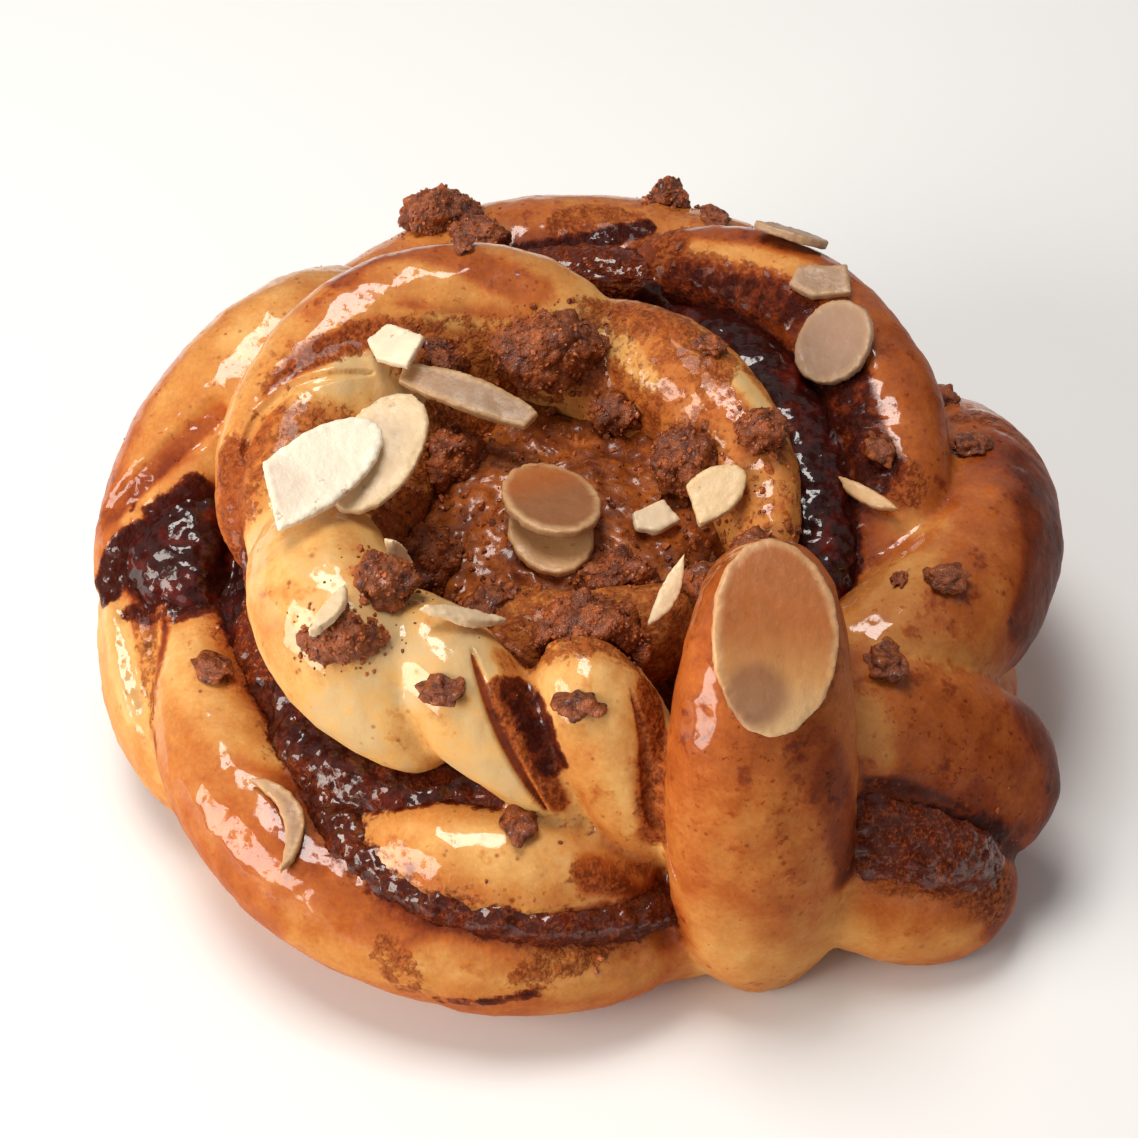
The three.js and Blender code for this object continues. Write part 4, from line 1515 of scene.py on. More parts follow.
BAKE, FLECK, SMEAR, SPECKLE, FOLD = Mark
STROKE_ROWS = (
    # The turn at the back left
    (BAKE, 0.58, 3, (-55, 1, 27), (-52, 10, 33), (-47, 17, 37)),
    (BAKE, 0.64, 1.4, (-53.5, 1, 28.5), (-48, 4, 33), (-41, 9, 37)),
    (BAKE, 0.22, 1.6, (-51.6, -0.6, 28.5), (-47, 1.6, 31.5), (-42, 4.2, 33)),
    (BAKE, 0.26, 3, (-40, 16, 41), (-37, 19, 42), (-34, 22, 42)),
    (SMEAR, 0.9, 2.6, (-44, 2, 31), (-47, 0, 29), (-49, -2, 28)),
    (SMEAR, 1, 2.4, (-54.4, -6, 22.4), (-53.5, -4, 24.7), (-51, -2, 27)),
    (SMEAR, 0.7, 1.6, (-52, -9.2, 22.2), (-46.2, -11.6, 24.7), (-41.3, -9.8, 24.8)),
    (SMEAR, 0.95, 2, (-42.2, 1.6, 29.7), (-40.5, -2.4, 27.1), (-38.8, -7.2, 25.4)),
    # The crown's left turn and the layers inside it
    (BAKE, 0.64, 2.6, (-26, 17, 48), (-20, 21, 49), (-4, 16, 48)),
    (BAKE, 0.56, 2.8, (-20, 12.5, 47.5), (-10, 13, 46), (-2, 13.5, 45.5)),
    (BAKE, 0.3, 1, (-22, 13, 48), (-16, 13, 47), (-7, 13, 46)),
    (SPECKLE, 0.7, 3, (-18, 12, 46), (-10, 12.5, 45.5), (-2, 13, 45)),
    (BAKE, 0.2, 3.4, (-38.6, -1, 41), (-37.4, 4.6, 43.6), (-32.5, 10.2, 47)),
    (SPECKLE, 0.4, 3, (-38, -1, 41), (-36.4, 4.6, 44), (-31, 9.6, 47)),
    (BAKE, 0.7, 2, (-34.4, 0.6, 43), (-30, 6.4, 47), (-22, 10.6, 47)),
    (SPECKLE, 0.85, 3, (-34.4, 0.6, 43), (-30, 6.4, 47), (-22, 10.6, 47)),
    (BAKE, 0.1, 1.8, (-37, -3, 40), (-34, 2, 44), (-23, 7, 44)),
    (SPECKLE, 0, 1.8, (-37, -3, 40), (-34, 2, 44), (-23, 7, 44)),
    (BAKE, 0.56, 2.6, (-38.6, -2.3, 40.3), (-37.6, -7.3, 37.4), (-36, -10.2, 33.2)),
    (SPECKLE, 0.9, 2.8, (-38.6, -2.3, 40.3), (-37.6, -7.3, 37.4), (-36, -10.2, 33.2)),
    (BAKE, 0.48, 5, (-37, -8, 38), (-33, -3, 42), (-27, -1, 41)),
    (SPECKLE, 0.75, 5, (-37, -8, 38), (-33, -3, 42), (-27, -1, 41)),
    (BAKE, 0.52, 4, (-20, 11, 44), (-13, 11, 42), (-2, 12, 42)),
    (SPECKLE, 0.75, 4.5, (-20, 11, 44), (-13, 11, 41), (-2, 12, 40)),
    # The pale knot at the front left
    (BAKE, 0.26, 3.6, (-33, -26, 40), (-31, -31, 39), (-26, -33, 41)),
    (BAKE, 0.08, 4, (-32, -28, 24), (-26, -35, 30), (-21, -36, 37)),
    (BAKE, 0.34, 2.4, (-36, -19, 37), (-35.4, -25, 33), (-32, -31, 31)),
    (FLECK, 0.8, 4, (-32, -25, 42), (-29, -29, 43), (-25, -28, 44)),
    (FLECK, 0.8, 4, (-16.4, -32.2, 41.8), (-13.2, -35.3, 40.6), (-14.2, -38.7, 39.8)),
    # The outer turn at the front left, with its lip
    (BAKE, 0.3, 4, (-45, -12, 24), (-42, -21, 24), (-37, -28, 22)),
    (BAKE, 0.6, 5, (-42, -36, 13), (-38, -42, 11), (-31, -48, 10)),
    (SPECKLE, 0.6, 2.6, (-41, -9, 25), (-40, -15, 23), (-37, -21, 22)),
    (FLECK, 0.8, 4, (-43, -11, 24.5), (-41, -17, 24), (-39, -23, 22.8)),
    (BAKE, 0.64, 1.6, (-32, -36, 21), (-29, -44, 19), (-24, -49, 16)),
    (BAKE, 0.45, 2.8, (-30, -48, 11), (-14, -54, 13), (8, -50, 10)),
    (BAKE, 0.34, 2.6, (-16, -53, 15), (-4, -53, 14), (7, -49, 13)),
    (SPECKLE, 0.7, 2.8, (-20, -52, 15), (-19, -53, 13), (-18, -53, 11)),
    (SPECKLE, 0.7, 2.8, (-6, -54, 12), (-4, -53, 14), (-2, -52, 14)),
    (SPECKLE, 0.85, 1.8, (-3, -52.6, 13.8), (-1, -52.4, 13.4), (2, -51, 13.4)),
    (SMEAR, 0.62, 1.2, (-15, -54, 9), (-10, -54, 10), (-3, -54, 11)),
    (BAKE, 0.85, 0.8, (-47, -11, 25), (-47, -19, 21), (-46, -28, 18)),
    # The layers at the left
    (BAKE, 0.2, 1.8, (-53, -8, 22), (-52, -14, 20), (-50, -21, 18)),
    (SPECKLE, 0, 1.8, (-53, -8, 22), (-52, -14, 20), (-50, -21, 18)),
    (BAKE, 0.44, 1.4, (-49, -10, 24), (-48.5, -16, 21), (-47, -24, 19)),
    (SPECKLE, 0.75, 1.4, (-49, -10, 24), (-48.5, -16, 21), (-47, -24, 19)),
    # The lens at the front
    (BAKE, 0.6, 1.3, (-21, -48, 18), (-10, -51, 18), (3, -48, 18)),
    (BAKE, 0.72, 2.4, (1, -47, 22), (5, -46, 20), (8, -45, 18)),
    (SPECKLE, 0.7, 2.6, (0, -47, 22), (4, -46, 20), (8, -45, 18)),
    (BAKE, 0.28, 4, (-16, -46, 23), (-10, -48, 23), (-4, -48, 22)),
    (FLECK, 0.7, 4, (-19, -46, 22), (-11, -48, 22), (-2, -48, 22)),
    # The pale tongue in the middle of the front
    (BAKE, 0.28, 2.2, (-18, -37, 35), (-15, -37, 29), (-9, -41, 28)),
    (BAKE, 0.06, 2.6, (-16, -34, 42), (-13, -36, 40), (-10, -40, 37)),
    (BAKE, 0.62, 1.4, (-8.4, -36.4, 39.4), (-6.2, -39.8, 35.4), (-2, -41.8, 27)),
    (SPECKLE, 0.9, 1.5, (-8.4, -36.4, 39.4), (-6.2, -39.8, 35.4), (-2, -41.8, 27)),
    # A dark line along the fold at the tongue's right edge: partly browning, partly painted shade where the
    # edge of the overlapping layer shades the fold.
    (BAKE, 0.85, 0.7, (-11, -33, 42), (-8, -40, 36), (-3, -42, 26)),
    (BAKE, 0.4, 1.8, (-8, -33, 40), (-6, -36, 37), (-3, -40, 32)),
    (SPECKLE, 0.5, 1.8, (-8, -33, 40), (-6, -36, 37), (-3, -40, 32)),
    (SMEAR, 0.8, 2.6, (-7, -36, 38), (-5, -38, 36), (-3, -40, 32)),
    # The tongue beside the strap
    (BAKE, 0.36, 2.6, (0, -41, 36), (2, -43, 29), (7, -44, 19)),
    (BAKE, 0.18, 2.2, (1, -35, 41), (2, -38, 40), (4, -40, 38)),
    (BAKE, 0.76, 0.55, (5, -37, 40), (7, -43, 29), (11, -48, 22)),
    (BAKE, 0.68, 2.4, (7, -36, 38), (7.6, -41, 34), (8, -44, 25)),
    (SPECKLE, 0.9, 2.6, (7, -36, 38), (7.6, -41, 34), (8, -44, 25)),
    (SPECKLE, 0.8, 3.6, (-7, -27, 36), (-2, -32, 41), (5, -32, 39)),
    (BAKE, 0.42, 3.6, (-7, -27, 36), (-2, -32, 41), (5, -32, 39)),
    # The strap
    (BAKE, 0.62, 4, (12, -42, 44), (11, -46, 37), (11, -48, 24)),
    (BAKE, 0.8, 3.2, (23, -45, 41), (26, -45, 32), (28, -45, 20)),
    (FLECK, 1, 6, (16, -46, 42), (21, -47, 37), (23, -49, 29)),
    (BAKE, 0.54, 3.6, (16, -50, 27), (20, -50, 24), (24, -49, 22)),
    (BAKE, 0.4, 5, (14, -51, 16), (20, -50, 10), (28, -45, 9)),
    (FLECK, 0.1, 5, (13, -50, 23), (20, -51, 15), (28, -46, 13)),
    # The upper turn at the front right
    (BAKE, 0.42, 2.6, (30, -33, 33), (31, -36, 30), (31, -38, 28)),
    (BAKE, 0.95, 3, (49, -27, 24), (52, -29, 19), (52, -32, 12)),
    (BAKE, 0.9, 1.4, (31, -38, 26), (39, -38, 22), (48, -35, 10)),
    (FLECK, 0.9, 5, (32, -34, 32), (37, -34, 30), (43, -34, 25)),
    # The lower turn at the front right
    (SMEAR, 0.85, 4, (31, -41, 24), (37, -41, 22), (45, -38, 16)),
    (BAKE, 0.42, 3, (32, -45, 15), (37, -45, 13), (42, -44, 9)),
    (SPECKLE, 0.85, 4, (33, -44, 18), (40, -43, 16), (46, -42, 10)),
    (BAKE, 0.8, 2.6, (42, -42, 16), (45, -41, 12), (46, -42, 7)),
    # The right turn
    (BAKE, 0.46, 3, (31, -23, 35), (35, -18, 37), (40, -6, 34)),
    (BAKE, 0.62, 4, (42, -19, 34), (45, -11, 36), (47, 2, 34)),
    (BAKE, 0.8, 8, (51, 4, 31), (53, -7, 29), (51, -16, 27)),
    (BAKE, 0.92, 4, (51, 3, 31.5), (53, -7, 29), (51, -16, 27)),
    (BAKE, 0.92, 2.4, (50.4, -3, 33.6), (50.6, -11.3, 31.8), (48.2, -18.6, 29.6)),
    (BAKE, 0.85, 2.6, (46, 14, 32), (50, 12, 32), (52, 9, 30)),
    (SPECKLE, 0.95, 3, (46, 14, 32), (50, 12, 32), (52, 9, 30)),
    (FLECK, 0.9, 5, (35, -23, 35), (39, -20, 35), (44, -17, 34)),
    # The turn at the back right, smeared on its inner side
    (SPECKLE, 1, 3.2, (31, 8, 41), (33, 1, 39), (37, -4, 37)),
    (SMEAR, 0.8, 4, (30, 14, 42), (32, 5, 39), (34, -2, 37)),
    (BAKE, 0.68, 4, (37, 14, 42), (40, 5, 39), (40, -4, 36)),
    (BAKE, 0.62, 2.6, (33, -9, 33), (36, -11, 34), (39, -11, 36)),
    # The crown's right turn
    (BAKE, 0.64, 2, (14, 26, 38), (19, 17, 39), (25, 8, 39)),
    (BAKE, 0.08, 1.5, (15, 7, 47), (19, 3, 46), (23, -2, 43)),
    (SPECKLE, 0, 1.5, (15, 7, 47), (19, 3, 46), (23, -2, 43)),
    (SPECKLE, 0.85, 3.2, (2, 15, 47), (9, 13, 47), (16, 5, 46)),
    (BAKE, 0.54, 2.4, (3, 15, 47), (10, 12, 47), (16, 5, 46)),
    (BAKE, 0.56, 4, (2, 11, 41), (7, 6, 40), (14, -3, 38)),
    (SPECKLE, 0.7, 4, (2, 11, 41), (7, 6, 40), (14, -3, 38)),
    (BAKE, 0.26, 2, (-4, 14, 46), (3, 13, 45), (8, 6, 44)),
    # The ridges at the back
    (SMEAR, 0.9, 1.8, (-8, 38, 37), (0, 40, 37), (9, 42, 38)),
    (SPECKLE, 0.9, 3, (-2, 42, 38), (5, 43, 38), (12, 34, 42)),
    (SPECKLE, 1, 4, (11, 31, 40), (18, 26, 42), (26, 21, 43)),
    (SMEAR, 0.75, 4, (12, 29, 40), (18, 25, 41), (26, 20, 43)),
    (BAKE, 0.58, 2.6, (-10, 45, 38), (-2, 46, 38), (5, 46, 38)),
    (BAKE, 0.34, 1.8, (14, 32, 42), (22, 28, 44), (30, 24, 44)),
)
FOLD_ROWS = (
    (FOLD, 0.35, 0.8, (-11, -33, 42), (-8, -40, 36), (-3, -42, 26)),
    (FOLD, 0.5, 0.7, (5, -37, 40), (7, -43, 29), (11, -48, 22)),
    (FOLD, 0.6, 2.0, (-53.5, 1, 28.5), (-48, 4, 33), (-41, 9, 37)),
    (FOLD, 0.6, 0.9, (-37, -3, 40), (-34, 2, 44), (-23, 7, 44)),
)
STROKES = tuple(Stroke(*row) for row in STROKE_ROWS)
FOLDS = tuple(Stroke(*row) for row in FOLD_ROWS)


@dataclass
class Filling:
    """The dark filling in the grooves, with the ring that joins it inside the dough."""

    voxel: float = 0.5
    smoothing: int = 2
    rings: int = 60
    sides: int = 28
    ring: Triple = (37.0, 5.5, 21.0)
    lumps: Reliefs = ((4.5, 0.9), (1.7, 0.6))
    grains: Reliefs = ((1.2, 0.55), (0.9, 0.3))
    dry_swell: float = 1.2
    wet_loss: float = 0.65
    glaze_from: Pair = (0.0, 0.35)

    def build(self, relief: Relief, material: Material) -> Object:
        """Builds and dresses the filling.

        Args:
            relief: The relief tree.
            material: The filling's material.

        Returns:
            The finished piece.
        """
        runs = list(FILLING_RUNS.values())
        skins = [run.turn.surface(self.rings, self.sides) for run in runs]
        made = join_surfaces("dark_filling", [*skins, ring_tube(*self.ring)])
        remesh(made, self.voxel, self.smoothing)
        settle(made)
        owner = nearest_line([run.turn for run in runs], points_of(made))
        wet = np.array([run.wet for run in runs])[owner]
        keep_attribute(made, "wet", wet)
        keep_attribute(made, "swell", np.array([run.lumpy for run in runs])[owner])
        relief.apply(made, *self.lumps)
        settle(made)
        keep_attribute(made, "swell", self.dry_swell - self.wet_loss * wet)
        relief.apply(made, *self.grains)
        settle(made)
        keep_attribute(made, "glaze", smoothstep(*self.glaze_from, normals_of(made)[:, 2]))
        return finish_piece(made, Slot.FILLING, ["filling"], material)


def depth_in(tree: BVHTree, points: Array) -> Array:
    """How deep each point lies in a closed surface.

    Args:
        tree: The surface's search tree.
        points: The points, in millimetres.

    Returns:
        The depths in millimetres, below 0 outside.
    """
    depths = np.empty(len(points))
    for i, point in enumerate(points):
        place, normal, _, _ = tree.find_nearest(Vector(point) * MM)
        depths[i] = (place - Vector(point) * MM).dot(normal) / MM
    return depths


def nearest_line(turns: Sequence[Turn], points: Array, count: int = 60) -> Array:
    """Which turn's middle line is nearest to each point.

    Args:
        turns: The turns.
        points: The points, in millimetres.
        count: In how many places each line is looked at.

    Returns:
        The turns' places in the list.
    """
    steps = np.linspace(0, 1, count)
    tree = point_tree(np.concatenate([turn.line(steps) for turn in turns]))
    return np.array([tree.find(point)[1] // count for point in points])


@dataclass
class Spread:
    """The biscuit spread in the hollow on top."""

    ball: Triple = (21.0, 14.0, 30.0)
    rings: int = 110
    sides: int = 260
    waves: Reliefs = ((8.0, 1.9), (2.6, 0.8))
    ripples: Reliefs = ((4.4, 0.8), (1.3, 0.35))

    def build(self, relief: Relief, material: Material) -> Object:
        """Builds and dresses the spread.

        Args:
            relief: The relief tree.
            material: The spread's material.

        Returns:
            The finished piece.
        """
        ball = pressed_ball(*self.ball, self.rings, self.sides)
        made = make_object("biscuit_spread", ball.points, ball.faces)
        relief.apply(made, *self.waves)
        relief.apply(made, *self.ripples)
        settle(made)
        return finish_piece(made, Slot.SPREAD, ["spread"], material)


@dataclass
class Dough:
    """The wound strand of dough, with the marks of its baking."""

    voxel: float = 0.66
    smoothing: int = 2
    core: Triple = (37.0, 32.0, 13.0)
    base: Triple = (43.0, 30.0, 8.0)
    ring: Triple = (39.0, 10.5, 8.0)
    swells: Reliefs = ((14.0, 0.7), (4.0, 0.26))
    puckers: Reliefs = ((2.4, 0.12), (1.5, 0.06))
    grains: Reliefs = ((1.9, 0.5), (1.2, 0.25))
    speckle_swell: float = 0.6
    refined: float = 2.0
    cuts: int = 2
    kept: float = 0.6
    underside: float = -0.35
    buried: float = 0.8
    groove: Pair = (0.3, 4.0)
    groove_paler: float = 0.1
    stain: Pair = (0.5, 4.5)
    stain_bake: float = 0.22
    stain_speckle: float = 0.42
    smear_reach: float = 1.9
    glaze_from: Pair = (0.25, 0.6)
    shaded_from: Pair = (0.2, 0.6)
    shaded_loss: float = 0.94
    skin_search: float = 1.6
    skin_gap: float = 1.5
    neighbours: int = 26
    far: float = 6.0
    turns: list[Turn] = field(default_factory=strand_turns)
    strokes: tuple[Stroke, ...] = STROKES
    folds: tuple[Stroke, ...] = FOLDS

    def build(self, relief: Relief, covers: tuple[Object, ...], material: Material) -> Object:
        """Builds and dresses the dough.

        Args:
            relief: The relief tree.
            covers: The finished filling, which stains what it touches, and what else hides the dough.
            material: The dough's material.

        Returns:
            The finished piece.
        """
        skins = [turn.surface() for turn in self.turns]
        heart = [pressed_ball(*self.core), pressed_ball(*self.base), ring_tube(*self.ring)]
        made = join_surfaces("glazed_dough", [*skins, *heart])
        remesh(made, self.voxel, self.smoothing)
        relief.apply(made, *self.swells)
        relief.apply(made, *self.puckers)
        settle(made)
        self._thin(made, covers)
        self._refine(made)
        self._crease(made)
        self._mark(made, skins, covers[0])
        relief.apply(made, *self.grains)
        settle(made)
        points = points_of(made)
        points[:, 2] = np.maximum(points[:, 2], 0.0)
        move_points(made, points)
        return finish_piece(made, Slot.DOUGH, ["dough"], material)

    def _thin(self, made: Object, covers: tuple[Object, ...]) -> None:
        """Takes faces out of the dough's underside and of what the filling and the spread hide.

        Args:
            made: The dough.
            covers: What hides it.
        """
        points = points_of(made)
        hidden = normals_of(made)[:, 2] < self.underside
        for cover in covers:
            hidden |= depth_in(tree_of(cover), points) > self.buried
        group = made.vertex_groups.new(name="hidden")
        group.add(np.flatnonzero(hidden).tolist(), 1.0, "REPLACE")
        thinner = made.modifiers.new("thin", "DECIMATE")
        thinner.ratio = self.kept
        thinner.vertex_group = group.name
        settle(made)
        made.vertex_groups.clear()

    def _refine(self, made: Object) -> None:
        """Splits the faces along the folds, so that fine lines stay smooth.

        Args:
            made: The dough.
        """
        points = points_of(made)
        skin = tree_of(made)
        close = np.zeros(len(points), bool)
        for fold in self.folds:
            close |= replace(fold, breadth=self.refined).share(skin, points) > 0
        shape = bmesh.new()
        shape.from_mesh(made.data)
        edges = [edge for edge in shape.edges if all(close[vert.index] for vert in edge.verts)]
        bmesh.ops.subdivide_edges(shape, edges=edges, cuts=self.cuts, use_grid_fill=True)
        shape.to_mesh(made.data)
        shape.free()

    def _crease(self, made: Object) -> None:
        """Presses the folds into the dough.

        Args:
            made: The dough.
        """
        points = points_of(made)
        skin = tree_of(made)
        depth = np.zeros(len(points))
        for fold in self.folds:
            depth = np.maximum(depth, fold.amount * fold.share(skin, points))
        move_points(made, points - normals_of(made) * depth[:, None])

    def _mark(self, made: Object, skins: list[Surface], filling: Object) -> None:
        """Keeps the marks of baking and filling on the dough's mesh.

        Args:
            made: The dough.
            skins: The turns' own skins.
            filling: The filling.
        """
        points = points_of(made)
        skin = tree_of(made)
        owner, along, gap = self._nearest_turns(skin, skins, points)
        marks = {mark: np.zeros(len(points)) for mark in (BAKE, FLECK, SMEAR, SPECKLE)}
        for i, turn in enumerate(self.turns):
            own = owner == i
            marks[BAKE][own] = through(turn.bake, along[own])
            marks[FLECK][own] = turn.fleck
            marks[SPECKLE][own] = turn.speckle
        marks[BAKE] -= self.groove_paler * (1 - smoothstep(*self.groove, gap))
        for stroke in self.strokes:
            share = stroke.share(skin, points)
            marks[stroke.mark] += (stroke.amount - marks[stroke.mark]) * share
        touch, wet = self._touch(filling, points)
        stained = 1 - smoothstep(*self.stain, touch)
        marks[BAKE] += self.stain_bake * stained
        marks[SPECKLE] = np.maximum(marks[SPECKLE], self.stain_speckle * stained)
        marks[SMEAR] = np.maximum(marks[SMEAR], wet * (1 - smoothstep(0.0, self.smear_reach, touch)))
        for mark, values in marks.items():
            keep_attribute(made, mark.value, values)
        keep_attribute(made, "swell", np.maximum(marks[SMEAR], self.speckle_swell * marks[SPECKLE]))
        across, _, up = normals_of(made).T
        shaded = 1 - self.shaded_loss * smoothstep(*self.shaded_from, across)
        keep_attribute(made, "glaze", smoothstep(*self.glaze_from, up) * shaded)

    def _touch(self, filling: Object, points: Array) -> tuple[Array, Array]:
        """How far the filling is from each point, and how wet it is there.

        Args:
            filling: The filling.
            points: The points, in millimetres.

        Returns:
            The distances in millimetres, no more than the reach of a stain, and the wetness.
        """
        corners = np.array([face.vertices[0] for face in filling.data.polygons])
        gaps, faces = nearest_face(tree_of(filling), points, self.stain[1])
        wet = np.where(faces < 0, 0.0, read_attribute(filling, "wet")[corners[faces]])
        return gaps, wet

    def _nearest_turns(
        self, skin: BVHTree, skins: list[Surface], points: Array
    ) -> tuple[Array, Array, Array]:
        """Which turn each point belongs to.

        Args:
            skin: The dough's surface.
            skins: The turns' own skins.
            points: The dough's points.

        Returns:
            Each point's turn, how far along it the point is, and how far the next turn is.
        """
        all_points = np.concatenate([part.points for part in skins])
        owners = np.concatenate([np.full(len(part.points), i) for i, part in enumerate(skins)])
        along = np.concatenate([part.along for part in skins])
        shown = nearest_face(skin, all_points, self.skin_search)[0] < self.skin_gap
        owners, along = owners[shown], along[shown]
        tree = point_tree(all_points[shown])
        first = np.zeros(len(points), int)
        gap = np.full(len(points), self.far)
        for i, point in enumerate(points):
            found = tree.find_n(point, self.neighbours)
            first[i] = found[0][1]
            for _, index, distance in found:
                if owners[index] != owners[first[i]]:
                    gap[i] = distance
                    break
        return owners[first], along[first], gap


# The toppings


def copy_node(name: str, nodes: Iterable[str]) -> Object:
    """One object from merged copies of CAD nodes.

    Args:
        name: The new object's name.
        nodes: The nodes.

    Returns:
        The object.
    """
    joined = bmesh.new()
    for node in nodes:
        joined.from_mesh(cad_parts[node].data)
    bmesh.ops.remove_doubles(joined, verts=joined.verts, dist=WELD)
    return object_of(name, joined)


@dataclass
class Crumble:
    """The clumps of biscuit crumble, broken up into crumbs and grains."""

    voxel: float = 0.28
    smoothing: int = 2
    crags: tuple[Pair, ...] = ((4.2, 2.4), (2.1, 0.9), (0.8, 0.4))
    grains: Grains = Grains(1.6, (0.14, 0.36), 2.0, 3)

    def build(self, crag: Crag, scatter: Scatter, material: Material) -> Object:
        """Builds and dresses the clumps and the grains on them.

        Args:
            crag: The tree that breaks them up.
            scatter: The grains' tree.
            material: The crumble's material.

        Returns:
            The finished clumps.
        """
        nodes = sorted(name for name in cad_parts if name.startswith("clump_"))
        clumps = copy_node("crumble_clumps", nodes)
        remesh(clumps, self.voxel, self.smoothing)
        crag.apply(clumps, *self.crags)
        settle(clumps)
        keep_attribute(clumps, "strewn", np.ones(len(clumps.data.vertices)))
        grains = scatter.strew("crumble_grains", clumps, self.grains)
        finish_piece(clumps, Slot.CRUMBLE, nodes, material)
        finish_piece(grains, Slot.CRUMBLE, nodes)
        return clumps


@dataclass
class LooseCrumbs:
    """Loose crumbs that lie thick round the clumps and on the spread, and thin over the rest of the top."""

    grains: Grains = Grains(1.7, (0.12, 0.6), 4.0, 5)
    gather: Pair = (0.3, 3.2)
    upward: Pair = (-0.1, 0.5)
    hollow: Pair = (18.0, 27.0)
    below: Pair = (39.0, 43.0)
    speckled: Pair = (0.5, 1.0)
    near_clumps: float = 0.5
    in_hollow: float = 0.6
    on_spread: float = 0.45
    on_speckles: float = 0.03
    elsewhere: float = 0.003

    def build(self, scatter: Scatter, dough: Object, spread: Object, clumps: Object) -> Object:
        """Strews the crumbs.

        Args:
            scatter: The grains' tree.
            dough: The finished dough.
            spread: The finished spread.
            clumps: The finished clumps.

        Returns:
            The finished piece.
        """
        near = tree_of(clumps)
        joined = bmesh.new()
        for bed, least in ((dough, self.elsewhere), (spread, self.on_spread)):
            keep_attribute(bed, "strewn", self._amount(bed, near, least))
            joined.from_mesh(bed.data)
        bed = object_of("crumb_bed", joined)
        made = scatter.strew("loose_crumbs", bed, self.grains)
        bpy.data.objects.remove(bed)
        return finish_piece(made, Slot.CRUMBLE, ["dough", "spread"])

    def _amount(self, bed: Object, clumps: BVHTree, least: float) -> Array:
        """How thick the crumbs lie on a bed.

        Args:
            bed: The dough or the spread.
            clumps: The clumps' surface.
            least: How thick they lie where nothing gathers them.

        Returns:
            The amount at each point, from 0 to 1.
        """
        points = points_of(bed)
        close = 1 - smoothstep(*self.gather, nearest_face(clumps, points, self.gather[1])[0])
        speckled = smoothstep(*self.speckled, read_attribute(bed, Mark.SPECKLE.value))
        inside = 1 - smoothstep(*self.hollow, np.hypot(points[:, 0], points[:, 1]))
        hollow = self.in_hollow * inside * (1 - smoothstep(*self.below, points[:, 2]))
        even = np.full(len(points), least)
        parts = [close * self.near_clumps, self.on_speckles * speckled, hollow, even]
        return np.maximum.reduce(parts) * smoothstep(*self.upward, normals_of(bed)[:, 2])


@dataclass(frozen=True)
class Slice:
    """How one almond slice looks: its tone, its bend, its brown spot and how far it pales to one end."""

    tone: float
    bend: float = 0.0
    spot: float = 0.0
    fade: float = 0.0


